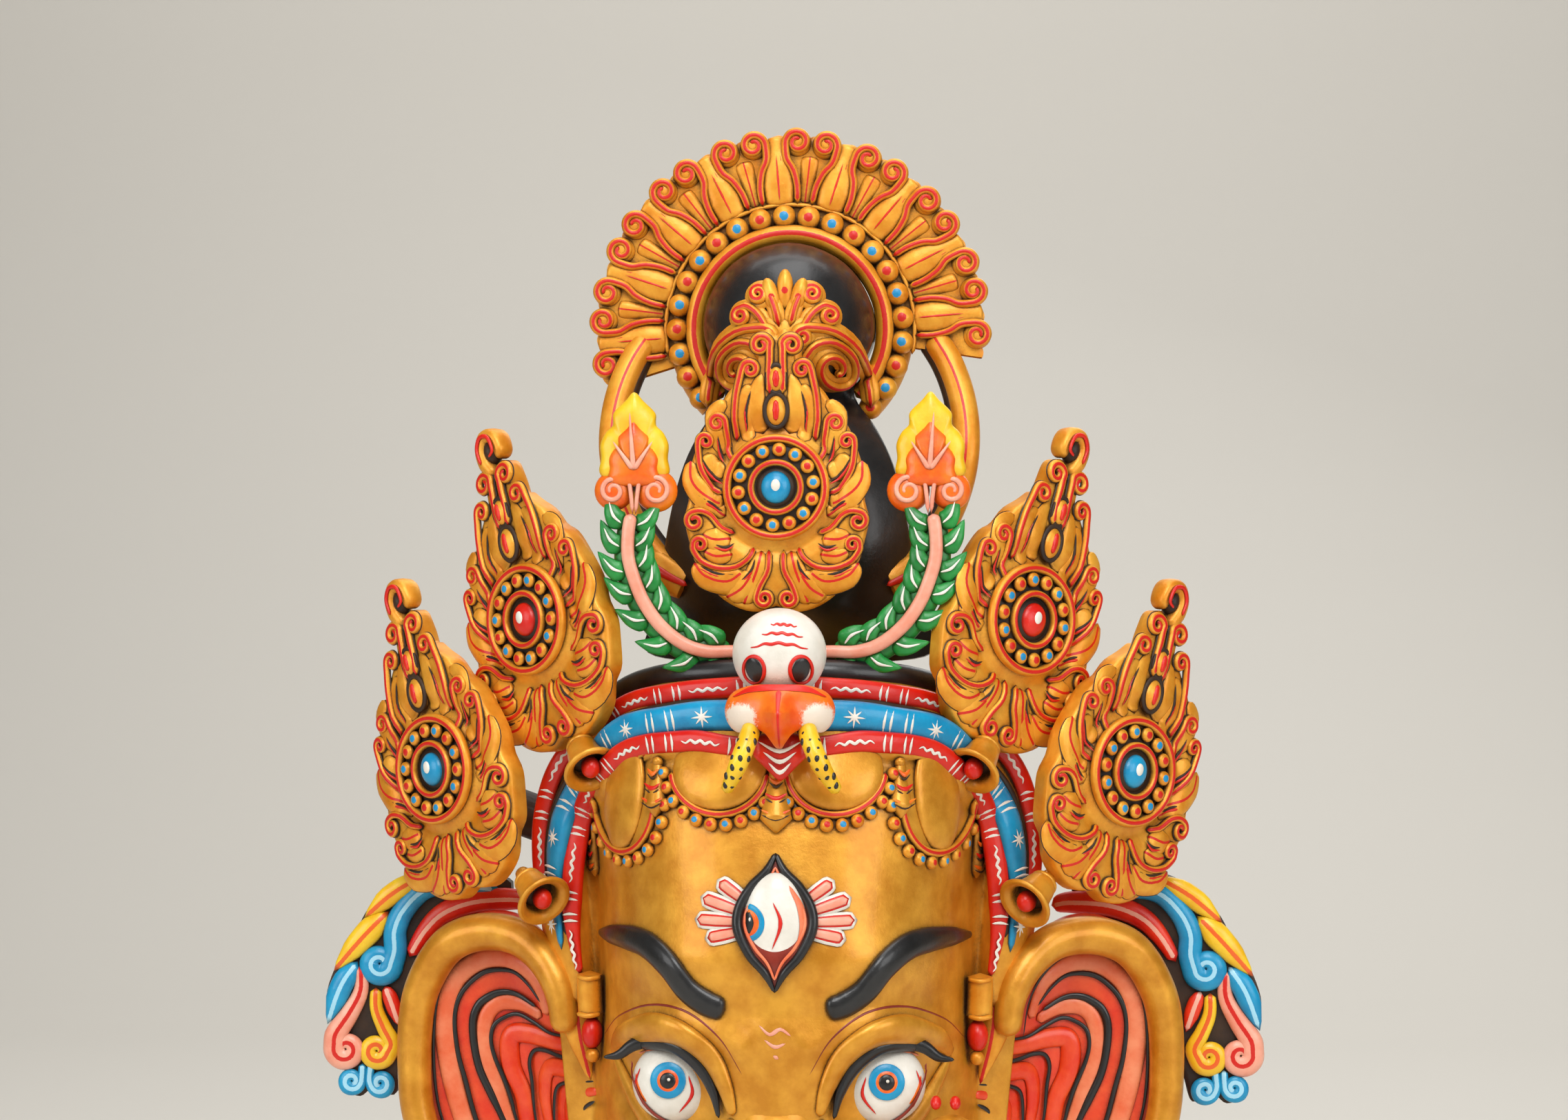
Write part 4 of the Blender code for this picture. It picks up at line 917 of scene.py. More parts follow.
LEAF_PETALS = [
    # line and half-widths of the broad petals on the right half
    ([(8, 32), (12, 44), (12.5, 55), (9, 68)], [3.0, 4.4, 4.0, 1.6]),
    ([(16, 27), (19.5, 40), (19.5, 54), (16, 62)], [2.8, 3.8, 3.4, 1.4]),
    ([(29, 20), (36, 30), (38, 44), (31, 52)], [3.5, 4.0, 4.0, 2.0]),
    ([(31, 8), (40, 12), (42.5, 21)], [4.0, 5.2, 2.6]),
    ([(32, -10), (43, -6), (52, 4), (53, 16)], [4.0, 6.0, 4.6, 2.0]),
    ([(31, -17), (41, -11), (52, -9)], [3.6, 4.4, 3.6]),
    ([(28, -31), (38, -31), (46, -28)], [3.6, 5.2, 2.6]),
    ([(27, -40), (37, -41), (45, -38)], [2.6, 4.2, 1.8]),
    ([(20, -50), (30, -56), (44, -53), (51, -45)], [4.4, 6.2, 5.4, 2.4]),
    ([(14, -50), (21, -60), (31, -66)], [4.4, 6.0, 4.0]),
    ([(9, -38), (12, -50), (17, -62), (20, -70)], [3.0, 4.4, 4.6, 2.8])]
LEAF_CUTS = [
    # dark strokes of painted shade that stand for carved cuts, with a red brush line beside them
    [(31, 3), (41, 9), (46, 18)], [(32, -14), (42, -9), (52, -2)], [(26, -34), (31, -36), (38, -34)],
    [(13, -43), (15.5, -50), (23, -57)], [(15.5, 58), (18.4, 46), (18, 34)], [(31, 16), (35, 22), (36, 31)],
    [(24, -52), (36, -51.5), (47, -47)]]


def leaf_matrix(side, x, z, depth):
    """Puts a leaf's medallion at its place, leaning out and turned aside; side 0 is the middle leaf."""
    turn = Matrix.Rotation(math.radians(side * LEAF_YAW), 4, "Z")
    lean = Matrix.Rotation(math.radians(side * LEAF_LEAN), 4, "Y")
    scale = Matrix.Scale(SIDE_LEAF_SCALE if side else 1.0, 4)
    return Matrix.Translation(Vector((x, -depth, z)) * MM) @ turn @ lean @ scale


def leaf_rise(x, z):
    """Height of a leaf's ground over its medallion plane: a bowl that falls to the edge."""
    reach = np.hypot(x, z)
    side = np.abs(x) / LEAF_HALF_WIDTH
    tall = np.where(z > 0, z / LEAF_UP, -z / LEAF_DOWN)
    out = np.clip(np.hypot(side, tall), 0, 1)
    return -4 + 3.2 * (1 - out ** 3) - 3.0 * np.exp(-((reach - 37) / 5) ** 2)


def drawn(line, hand):
    """A line of the leaf's relief, drawn in a little so that it stays on the board."""
    return both([(0.95 * x, 0.98 * z) for x, z in line], hand)


def make_leaf(name, side, x, z, depth, jewel):
    """One crown leaf: scalloped board, flame petals, ridges with volutes and the jewelled medallion."""
    carry = leaf_matrix(side, x, z, depth)
    bm = begin()

    def place(u, v):
        edge = outline_place(LEAF_OUTLINE, u)
        share = np.interp(v, [0, 0.72, 0.78, 0.86, 1.0], [0, 0.97, 1.0, 1.0, 0.0])
        notch = 1 - 0.06 * np.abs(np.cos(math.pi * LEAF_LOBES * u)) ** 8 * np.clip(share * 5 - 4, 0, 1)
        spot = edge * (share * notch)[:, None]
        front = leaf_rise(spot[:, 0], spot[:, 1]) - 1.5 * np.clip((v - 0.72) / 0.06, 0, 1)
        level = np.interp(v, [0.78, 0.86], [0, 1])
        return np.column_stack([spot, front * (1 - level) - LEAF_THICKNESS * level]), NO_MARK

    patch(bm, 136, 46, place, GOLD, carry)
    for hand in (-1, 1):
        for line, widths in LEAF_PETALS:
            # a wider dark stroke under each petal: painted shade, with patina, in the groove round it
            groove_shade = [1.35 * w + 0.45 for w in widths]
            stroke(bm, drawn(line, hand), groove_shade, DARK, 0.12, leaf_rise, 0.1, steps=5, sides=12,
                   carry=carry)
        for i, (line, widths) in enumerate(LEAF_PETALS):
            vein = 0.75 if i > 3 else 0.0
            stroke(bm, drawn(line, hand), [1.35 * w for w in widths], GOLD, 0.26, leaf_rise, 0.5, mark=vein,
                   steps=5, sides=12, carry=carry)
        for line in LEAF_CUTS:
            # a dark stroke of painted shade in place of the cut
            stroke(bm, drawn(line, hand), [0.3, 0.9, 0.25], DARK, 0.6, leaf_rise, 2.0, steps=4, carry=carry)
            beside = [(x + 0.5, z - 1.5) for x, z in line]
            stroke(bm, drawn(beside, hand), [0.3, 0.9, 0.25], RED_GLASS, 0.5, leaf_rise, 2.0, steps=4,
                   carry=carry)
        for line, centre, radius, turn, width in LEAF_RIDGES:
            winding = drawn(scroll(line, centre, radius, turn), hand)
            # a wider dark stroke of painted shade at the foot of the ridge
            stroke(bm, winding, [1.0 * width, 1.18 * width, 1.18 * width, 0.9 * width, 0.6 * width], DARK,
                   0.4, leaf_rise, 1.0, steps=3, sides=8, carry=carry)
            stroke(bm, winding, [0.8 * width, width, width, 0.8 * width, 0.65 * width], GOLD, 0.9,
                   leaf_rise, 1.7, mark=0.95, steps=3, sides=12, carry=carry)
    for cz, half, tall in ((45, 6.6, 9.9), (63.5, 5.4, 8.3)):
        # a dark ring of painted shade round each drop
        stroke(bm, circle((0, cz), tall, half / tall, count=24), 1.5, DARK, 0.8, lift=0.2, steps=2,
               closed=True, carry=carry)
        dome(bm, (0, cz, -2.0), (half, tall, 5.4), GOLD, carry=carry, sides=28, rows=12)
        stroke(bm, [(0, cz + 0.62 * tall), (0, cz), (0, cz - 0.62 * tall)], [1.2, 2.2, 1.2], RED_GLASS, 0.5,
               lift=2.8, carry=carry, sides=12, steps=5)
    medallion(bm, carry, jewel)
    if side:
        hook(bm, side, carry)
    finish(bm, name, LEAF_PAINTS)


def medallion(bm, carry, jewel):
    """Two ringed circles with beads between them and a jewel in the middle."""
    dome(bm, (0, 0, -3), (29, 29, 4.5), DARK, carry=carry, sides=48, rows=10)
    stroke(bm, circle((0, 0), 28.8, count=48), 2.6, GOLD, 1.2, lift=1.0, mark=1.0, steps=2, sides=16,
           closed=True, carry=carry)
    stroke(bm, circle((0, 0), 14.6, count=36), 2.0, GOLD, 1.3, lift=2.4, mark=0.95, steps=2, sides=12,
           closed=True, carry=carry)
    for i in range(14):
        turn = math.radians(85 - i * 360 / 14)
        spot = (22.2 * math.cos(turn), 22.2 * math.sin(turn), 2.2)
        dome(bm, spot, (4.2, 4.2, 2.6), GOLD_DOTS if i % 2 else GOLD, carry=carry, mark=2.1, sides=20,
             rows=10)
    dome(bm, (0, 0, 0), (12.6, 12.6, 3.2), DARK, carry=carry, sides=28)
    dome(bm, (0, 0, 1.5), (8.8, 9.6, 4.8), jewel, carry=carry, sides=32, rows=14)
    # a white spot of painted highlight on the jewel
    dome(bm, (0, 1.0, 5.6), (2.9, 3.8, 1.2), GLINT, carry=carry, sides=18)


def hook(bm, side, carry):
    """The curled-over tip of a side leaf with its red inner face and pellet."""
    arch = both([(1, LEAF_UP - 10), (5.5, LEAF_UP - 1), (6, LEAF_UP + 8), (1.5, LEAF_UP + 14),
                 (-4.5, LEAF_UP + 12), (-6, LEAF_UP + 4), (-2, LEAF_UP + 1)], side)
    stroke(bm, [(x, z, -7) for x, z in arch], [4, 5, 5, 5, 4.6, 4, 3], GOLD, 1.6, steps=6, sides=16,
           carry=carry, flat=0.6)
    stroke(bm, [(x, z, 1.2) for x, z in arch[1:]], [1.0, 1.3, 1.3, 1.1, 0.7], RED_GLASS, 0.8, steps=6,
           sides=8, carry=carry)
    dome(bm, (side * -0.5, LEAF_UP + 5, -5), (4.5, 7.0, 6.0), DARK, carry=carry, sides=18)


def make_crown():
    """The five leaves, one design."""
    make_leaf("leaf_centre", 0, -3.5, 8, 112, BLUE_GLASS)
    for side, inner, outer in ((-1, -153.5, -213), (1, 146, 207)):
        make_leaf(sided("leaf_inner", side), side, inner, -70, 85, RED_GLASS)
        make_leaf(sided("leaf_outer", side), side, outer, -161, 60, BLUE_GLASS)


# Halo and topknot

TOPKNOT_CENTRE = 50.0
HAIR, ORNAMENT = range(2)
TOPKNOT_OUTLINE = mirrored([(0, HALO_Z + DOME_RADIUS), (32, HALO_Z + 41), (49, HALO_Z + 18),
                            (DOME_RADIUS, HALO_Z - 5), (43, HALO_Z - 28), (40, HALO_Z - 42), (53, 46),
                            (64, 22), (72, -10), (78, -44), (84, -70), (88, HEAD_TOP + 6), (56, HEAD_TOP),
                            (0, HEAD_TOP)])


def halo_place(tangent, radius, turn):
    """A place given beside and out along one petal of the halo."""
    angle = math.radians(turn)
    x = radius * math.cos(angle) + tangent * math.sin(angle)
    return (x, HALO_Z + radius * math.sin(angle) - tangent * math.cos(angle))


def halo_ground(bm):
    """The fan board behind the petals, with a scalloped rim."""
    first, last = -8.5, 197.5
    inner, outer = DOME_RADIUS + 0.6, HALO_RADIUS - 4

    def place(u, v):
        turn = np.radians(first + (last - first) * u)
        petal = (np.degrees(turn) - 90 - 3.5) / PETAL_STEP
        radius = np.interp(v, [0, 0.06, 0.6, 0.68, 0.94, 1.0], [inner, inner, outer, outer, inner, inner])
        near_rim = np.clip((radius - 100) / 16, 0, 1)
        radius = radius + near_rim * (2.5 * np.cos(math.tau * 2 * petal) - 1.0)
        depth = np.interp(v, [0, 0.06, 0.6, 0.68, 1.0], [0, 17, 17, 1.5, 0])
        spots = np.column_stack([radius * np.cos(turn), HALO_Z + radius * np.sin(turn), depth])
        return spots, NO_MARK

    patch(bm, 260, 38, place, GOLD)


def make_halo():
    """Fan of petals, bead ring, inner ring and the two ribbon loops."""
    bm = begin()
    halo_ground(bm)
    for i in range(-4, 5):
        turn = 94.5 - PETAL_STEP * i
        body = [halo_place(0, r, turn) for r in (75, 88, 100, 110, 119)]
        stroke(bm, body, [8.5, 10.6, 9.4, 6.6, 5.0], GOLD, 0.42, lift=17.5, steps=8, sides=20, taper=0.5)
        for t in (-3.6, 0, 3.2):
            vein = [halo_place(t * 0.6, 79, turn), halo_place(t, 92, turn), halo_place(t * 0.7, 107, turn)]
            stroke(bm, vein, [0.4, 0.7, 0.2], RED_GLASS, 0.5, lift=21.8 - 0.1 * t * t, steps=4)
        for hand in (-1, 1):
            line = [(10.6, 76), (11.4, 87), (9.8, 97), (6.4, 104), (6.0, 111)]
            winding = scroll(line, (13.6, 114), 7.6, -1, 1.45)
            winding = [halo_place(hand * t, r, turn) for t, r in winding]
            stroke(bm, winding, [1.9, 2.5, 2.6, 2.5, 2.0, 1.5], GOLD, 1.1, lift=20.5, mark=1.05, steps=3,
                   sides=12)
            dome(bm, (*halo_place(hand * 13.6, 114, turn), 17.0), (8.6, 8.6, 4.5), GOLD, sides=24, rows=10)
        channel = [halo_place(0, r, turn - PETAL_STEP / 2) for r in (77, 90, 102, 107)]
        if i < 4:
            stroke(bm, channel, [3.0, 4.6, 5.6, 4.8], GOLD, 0.3, lift=17.0, mark=0.5, steps=6, sides=12,
                   taper=0.4)
    halo_rings(bm)
    for side in (-1, 1):
        loop = [(side * x, z) for x, z in circle((0, 40), 108, first=36, sweep=-90, count=9)]
        depths = [14 + 5 * min(k, 4) + 4.0 * max(k - 6, 0) for k in range(len(loop))]
        path = [(x, z, d) for (x, z), d in zip(loop, depths)]
        stroke(bm, path, 8.4, GOLD, 0.95, steps=8, sides=16, flat=0.7, mark=0.8)
        # a dark stroke of painted shade along the inside of each loop
        inner = [(x * 0.935, 40 + (z - 40) * 0.935, d - 3) for x, z, d in path]
        stroke(bm, inner, 4.2, DARK, 1.2, steps=8, sides=12)
        end = [(side * 90, -30, 40), (side * 76, -42, 46), (side * 60, -50, 50)]
        stroke(bm, end, [9, 11, 10], GOLD, 0.7, steps=8, sides=16, flat=0.5, taper=0.3)
        stroke(bm, [(x, z, d + 8) for x, z, d in end], [1.2, 2.6, 1.6], RED_GLASS, 0.5, steps=8, sides=12)
    finish(bm, "halo", LEAF_PAINTS[:4])


def halo_rings(bm):
    """Inner ring with its red line, the bead row and the rim between them."""
    wide = {"first": -46, "sweep": 272, "count": 60}
    ring = circle((0, HALO_Z), 58.6, **wide)
    stroke(bm, ring, 5.2, GOLD, 0.9, lift=22.5, mark=1.5, steps=2, sides=16, taper=0.3)
    stroke(bm, circle((0, HALO_Z), 54.4, **wide), 1.6, GOLD, 1.6, lift=21, steps=2, sides=8, taper=0.3)
    stroke(bm, circle((0, HALO_Z), 76.4, first=-12, sweep=204, count=50), 1.5, GOLD, 1.2, lift=18.5,
           steps=2, sides=8)
    stroke(bm, circle((0, HALO_Z), 68, **wide), 7.6, GOLD, 1.3, lift=9, steps=2, sides=12, taper=0.3)
    for i in range(BEAD_COUNT):
        turn = math.radians(-44.3 + 12.47 * i)
        spot = (BEAD_CIRCLE * math.cos(turn), HALO_Z + BEAD_CIRCLE * math.sin(turn), 20)
        dome(bm, spot, (7.3, 7.3, 6.8), GOLD_DOTS if i % 2 else GOLD, mark=2.8, sides=22, rows=12)


def topknot_depth(x, z):
    """The lower bulb and the upper dome of the hair."""
    bulb = 76 * np.sqrt(np.maximum(1 - (x / 94) ** 2 - ((z + 24) / 100) ** 2, 0))
    top = 56 * np.sqrt(np.maximum(1 - (x / 53) ** 2 - ((z - HALO_Z) / 53) ** 2, 0))
    return np.maximum(smooth_max(bulb, top + 24 * (z > HALO_Z - DOME_RADIUS), 14), 26.0)


def ornament_depth(x, z):
    """Ground of the gold scroll ornament on the dome."""
    return topknot_depth(x, z) + 1.5


def make_topknot():
    """Black hair in a bulb and a dome, with its gold scroll ornament."""
    bm = begin()

    def place(u, v):
        edge = outline_place(TOPKNOT_OUTLINE, u)
        share = np.interp(v, [0, 0.8, 0.88, 1.0], [0, 1, 1, 0])
        x = edge[:, 0] * share
        z = TOPKNOT_CENTRE + (edge[:, 1] - TOPKNOT_CENTRE) * share
        depth = topknot_depth(x, z) * np.interp(v, [0.8, 0.88], [1, 0])
        return np.column_stack([x, z, depth]), NO_MARK

    patch(bm, 120, 64, place, HAIR)
    for side in (-1, 1):
        for line, centre, radius, hand, width in (
                ([(6, 62), (8, 78), (15, 92), (25, 96)], (28, 81), 13.5, -1, 3.0),
                ([(50, 58), (48, 74), (41, 92), (28, 102), (14, 104)], (10, 99), 4.5, 1, 3.4),
                ([(7, 96), (14, 110), (21, 116)], (25, 111), 5.0, -1, 2.8),
                ([(3, 104), (6, 116), (10, 125)], (15, 123), 5.0, -1, 2.8)):
            winding = both(scroll(line, centre, radius, hand, 1.5), side)
            stroke(bm, winding, [1.7 * width, 2.0 * width, 2.0 * width, 1.4 * width], ORNAMENT, 0.3,
                   ornament_depth, 0.4, steps=3, sides=12)
            stroke(bm, winding, [0.8 * width, width, width, 0.7 * width], ORNAMENT, 0.9, ornament_depth,
                   2.4, mark=1.0, steps=3, sides=12)
        for x, z, tall in ((8, 122, 12), (0, 126, 13)):
            dome(bm, (side * x, z, depth_at(ornament_depth, x, z)), (5.2, tall, 4.5), ORNAMENT, sides=20,
                 mark=2.0, turn=-side * x * 2)
    dome(bm, (0, 92, 78), (11, 24, 6), ORNAMENT, sides=28, rows=14)
    stroke(bm, [(0, 0, 60), (0, 0, 90), (0, 0, 107)], 14, HAIR, 1.0, steps=4, sides=20, facing=(0, 1, 0))
    finish(bm, "topknot", ["ink_lacquer", "gold_paint_red_lines"])


# Skull, garlands, ears and ribbons

SKULL = (1.0, -88.0, 158.0)
SKULL_PAINTS = ["white_enamel", "red_enamel", "ink_lacquer", "orange_enamel_pale_lobes",
                "yellow_enamel_orange_lines", "red_enamel_pink_lines", "patina_shadow"]
BONE, BLOOD, BLACK, BEAK, SNAKE, PENNANT, NOSTRIL = range(7)


def skull_front(x, z):
    """Depth of the skull's round front."""
    left = 1 - ((x - SKULL[0]) / 27) ** 2 - ((z - SKULL[1]) / 26) ** 2
    return SKULL[2] + 27 * np.sqrt(np.maximum(left, 0.01))


def make_skull():
    """The skull with its hooked beak, two spotted snakes and the red pennant."""
    bm = begin()
    dome(bm, SKULL, (27, 26, 27), BONE, sides=64, rows=36)
    for side in (-1, 1):
        x, z = 1 + 13.3 * side, -96.8
        spot = (x, z, float(skull_front(x, z)) - 0.5)
        tilt = normal_at(skull_front, x, z)
        dome(bm, spot, (5.8, 7.6, 1.6), BLACK, facing=tilt, sides=28)
        ring = circle((x, z), 7.6, 0.8, count=22)
        stroke(bm, ring, 1.2, BLOOD, 0.8, skull_front, 0.2, steps=2, closed=True, sides=8)
        snake = [(side * 15 + 2.5, -125, 180), (side * 17 + 2.5, -134, 192), (side * 23 + 3, -149, 197),
                 (side * 32 + 4, -166, 190)]
        stroke(bm, snake, [4.8, 5.6, 5.5, 3.4], SNAKE, 1.0, steps=7, sides=20)
        path = smooth(snake, 10)
        for row, k in enumerate(range(9, len(path) - 2, 3)):
            slim = np.interp(k / (len(path) - 1), [0.67, 1.0], [1.1, 0.7])
            for off in ((-2.2, 2.2), (-4.0, 0.0, 4.0))[row % 2]:
                spot = path[k] + np.array((off, 0.0, 4.5 - 0.12 * off * off)) * slim
                dome(bm, spot, (1.6, 2.3, 0.9), BLACK, sides=10, rows=5, facing=(off / 5, 0, 1))
    for z, first, last in ((-71, -3, 12), (-76, -8, 15.6), (-81.7, -14.5, 18.5)):
        spots = np.linspace(first, last, 9)
        wave = [(x, z + 0.4 * (-1) ** k - 0.012 * (x - 1) ** 2) for k, x in enumerate(spots)]
        stroke(bm, wave, [0.3, 1.0, 1.0, 0.3], BLOOD, 0.45, skull_front, 0.1, steps=5)
    beak(bm)
    stroke(bm, [(2.6, -132, 176), (2.6, -146, 180), (2.6, -160, 178)], [17, 15, 1.0], PENNANT, 0.3, steps=8,
           sides=16, taper=0.3)
    for k in range(3):
        z = -140 - 6 * k
        stroke(bm, [(-10 + 3 * k, z + 3, 184), (2.6, z - 2.5, 185.5), (15 - 3 * k, z + 3, 184)],
               [0.3, 1.3, 0.3], BONE, 0.4, steps=5)
    finish(bm, "skull", SKULL_PAINTS)


BEAK_OUTLINE = mirrored([
    (0, 15), (14, 15), (26, 11), (31, 3), (30, -6), (24, -12), (15, -9.5), (8, -12), (4, -17), (0, -22)])


def beak(bm):
    """The broad beak, hooked down in the middle between two pale lobes."""
    mid = 2.5

    def front(x, z):
        share = np.clip(np.hypot((x - mid) / 33, (z + 120) / 21), 0, 1)
        ridge = 11 * np.exp(-((x - mid) / 7) ** 2) * np.clip((-106 - z) / 14, 0, 1)
        return 174 + 21 * np.sqrt(1 - share ** 2.2) + ridge

    def place(u, v):
        edge = outline_place(BEAK_OUTLINE, u)
        share = np.interp(v, [0, 0.8, 1.0], [0, 1, 0.9])[:, None]
        spot = np.array((mid, -120)) + edge * share
        depth = front(spot[:, 0], spot[:, 1]) + np.interp(v, [0.8, 1.0], [0.0, -14.0])
        pale = np.exp(-((np.abs(spot[:, 0] - mid) - 22) / 9) ** 2) * np.clip((-112 - spot[:, 1]) / 9, 0, 1)
        return np.column_stack([spot, depth]), 1.3 - 0.75 * pale

    patch(bm, 120, 40, place, BEAK)
    stroke(bm, [(-24, -112), (-13, -107.5), (2.5, -106.5), (18, -107.5), (29, -112)],
           [0.4, 2.2, 2.8, 2.2, 0.4], BLOOD, 0.1, front, 0.3, steps=8, sides=16)
    stroke(bm, [(2.5, -108), (2.5, -120), (3, -140)], [1.6, 0.8, 0.4], BLOOD, 0.15, front, 0.4, steps=10,
           sides=16)
    for side in (-1, 1):
        # dark domes of painted shade stand for the nostril openings
        dome(bm, (2.5 + side * 15.5, -130, 186), (6.0, 5.4, 7.5), NOSTRIL, sides=24)


GARLAND_PAINTS = ["green_enamel_pale_lines", "pink_enamel_red_lines", "orange_enamel",
                  "yellow_enamel_orange_lines", "white_enamel"]
GREEN, PINK, CURL, YELLOW, VEIN = range(5)
GARLAND = [(29.5, -88), (44, -88), (57.5, -83.6), (71, -73), (80.6, -59.6), (86.4, -46), (90, -32.6),
           (90, -19), (88.3, -7.5)]


def make_garland(side):
    """A pink stem with green leaves on both sides, two curls and an orange and yellow leaf on top."""
    bm = begin()
    stroke(bm, [(x, z, 110.5) for x, z in both(GARLAND, side)], [7, 10, 10, 10, 10, 8, 6], GREEN, 0.5,
           steps=8, sides=14)
    stroke(bm, [(x, z, 117) for x, z in both([(16, -88)] + GARLAND, side)], [3.4, 3.9, 4.0, 3.9, 3.9], PINK,
           0.7, steps=8, sides=16)
    path = smooth(GARLAND, 16)
    count = 8
    for i in range(count):
        k = int((i + 0.35) / count * (len(path) - 2)) + 1
        ahead = unit(path[k + 1] - path[k - 1])
        for hand in (-1, 1):
            beside = np.array((-ahead[1], ahead[0])) * hand
            root = path[k] + beside * 2.5
            middle = root + beside * 7.5 + ahead * 5.5
            tip = root + beside * 13.5 + ahead * 18
            line = [(side * p[0], p[1], d) for p, d in ((root, 113), (middle, 115.5), (tip, 113))]
            stroke(bm, line, [3.8, 6.6, 4.4, 0.4], GREEN, 0.45, steps=7, sides=16)
            vein = [(side * p[0], p[1], d) for p, d in ((0.7 * root + 0.3 * middle, 118), (middle, 119),
                                                        (0.4 * middle + 0.6 * tip, 118))]
            stroke(bm, vein, [0.4, 0.9, 0.2], VEIN, 0.4, steps=6)
    finial(bm, side)
    finish(bm, sided("garland", side), GARLAND_PAINTS)


FINIAL_OUTLINE = mirrored([(0, 40), (5, 35), (12, 28), (12.5, 23), (13, 20), (17, 16), (20, 9), (19.5, 1),
                           (20.5, -7), (15, -12), (0, -13)])


def finial(bm, side):
    """The pointed leaf over the two curls."""
    for grow, drop, depth, paint in ((1.0, 0.0, 112, YELLOW), (0.74, 6.0, 115.0, CURL)):
        def place(u, v, grow=grow, drop=drop, depth=depth):
            edge = outline_place(FINIAL_OUTLINE, u) * grow
            share = np.interp(v, [0, 0.85, 1.0], [0, 1, 1])
            out = depth + 5.5 * np.sqrt(np.maximum(1 - share ** 2.5, 0)) * np.interp(v, [0.85, 1], [1, 0])
            spots = [side * (87 + edge[:, 0] * share), 24 - drop + edge[:, 1] * share,
                     np.where(v > 0.99, depth - 5, out)]
            return np.column_stack(spots), NO_MARK

        patch(bm, 80, 20, place, paint)
    for x, z in ((89, 52), (99, 35), (75.5, 35)):
        vein = [(86.5, 18, 121), (0.5 * (86.5 + x), 0.5 * (20 + z) - 1, 121.2), (x, z, 118.5)]
        stroke(bm, both(vein, side), [1.7, 1.1, 0.4], PINK, 0.6, steps=5)
    for hand, x, reach in ((1, 98.9, 9.2), (-1, 74.0, 10.2)):
        dome(bm, (side * x, 6, 111), (reach + 2.4, reach + 2.4, 7.0), CURL, sides=28, rows=10)
        start = [(86.5 + hand * 0.8, -8), (86.5 + hand * 2.0, 5), (86.5 + hand * 4.0, 13)]
        winding = scroll(start, (x, 6), reach - 1.6, -hand, 1.5)
        stroke(bm, [(side * px, pz, 117.3) for px, pz in winding], [1.2, 1.5, 1.5, 1.3, 1.0], PINK, 0.9,
               steps=3, sides=12)


EAR_PAINTS = ["face_gold_paint", "ear_red_enamel", "salmon_enamel", "ink_lacquer"]
RIM, EAR_RED, EAR_SALMON, EAR_BLACK = range(4)
EAR_OUTLINE = [(126, -322), (132, -292), (145, -270), (163, -254), (181, -250), (198, -254), (214, -263),
               (228, -281), (236, -305), (238, -338), (233, -374), (216, -408), (196, -440), (172, -462),
               (150, -458), (136, -430), (122, -396), (112, -355)]
EAR_RIM = [(132, -318, 78), (134, -297, 76), (140, -282, 72), (150, -270, 66), (163, -262, 60),
           (180, -260, 52), (196, -263, 48), (209, -271, 44), (220, -287, 40), (227, -307, 38),
           (229, -338, 38), (226, -373, 40), (212, -407, 42), (192, -437, 45), (169, -456, 50),
           (148, -450, 56)]
EAR_LINES = [
    # half-widths and line of the black lines inside the ear, from the rim inwards; the first, along the
    # rim, and the broad third, in the deepest fold, are painted shade
    (1.0, [(141, -322), (145, -300), (156, -282), (172, -272), (190, -272), (205, -281), (215, -300),
           (218, -335), (214, -372), (200, -405), (182, -432)]),
    (1.5, [(150, -304), (159, -293), (169, -286), (183, -285.6), (193, -291), (201.5, -301), (205, -315),
           (203, -335.5), (198, -354), (193, -373), (184, -398), (172, -424), (160, -440)]),
    (2.4, [(153, -307), (166, -300), (177, -299), (186, -303), (191, -308), (193.7, -316.6), (193, -330),
           (189.5, -346), (182.6, -361), (177.4, -371.6), (168, -392), (158, -410)]),
    (1.3, [(121, -324), (132, -323), (144, -322), (154.5, -316.5), (165.6, -312), (175.5, -315),
           (181, -320), (182.5, -328.6), (180, -339), (174, -353), (169, -366.5), (167, -374), (160, -392),
           (150, -402)]),
    (1.3, [(120, -333), (125.6, -336), (136.7, -335.6), (147.6, -333), (154.6, -334), (157.5, -341),
           (155.8, -353), (154, -371), (150, -388)]),
    (1.2, [(113, -347), (124, -349), (133, -351), (139.6, -356), (140.8, -371), (139, -386)]),
    (1.2, [(113, -359), (118.8, -363), (124, -371)])]
EAR_BANDS = [
    # paint, half-widths and line of the raised bands between the black lines
    (EAR_SALMON, [3, 5.5, 6.5, 6.5, 6.0, 4], [(146, -312), (155, -290), (172, -279), (190, -280),
                                              (205, -292), (211, -315), (208, -345), (199, -378),
                                              (184, -412), (168, -436)]),
    (EAR_SALMON, [3, 5.0, 5.0, 5.0, 4.5, 3], [(150, -313), (164, -306), (178, -306), (186, -316),
                                              (186, -336), (179, -356), (170, -380), (156, -402)]),
    (EAR_RED, [3, 6.0, 6.5, 6.0, 4], [(118, -329), (140, -328), (158, -324), (170, -326), (170, -344),
                                      (162, -362), (158, -384), (148, -400)]),
    (EAR_RED, [3, 5.5, 5.5, 4.5, 3], [(114, -341), (130, -343), (145, -344), (148, -360), (144, -384)]),
    (EAR_RED, [2, 4.5, 4.5, 3], [(112, -353), (124, -356), (131, -364), (131, -382)])]


def ear_depth(x, z):
    """The dished ear rises towards the face."""
    x = np.abs(x)
    rise = np.maximum(0, (172 - x) / 60)
    out = np.hypot((x - EAR_X) / 60, (z - EAR_Z) / 108)
    return 32 + 34 * rise ** 1.5 + 6 * np.minimum(out, 1) ** 4


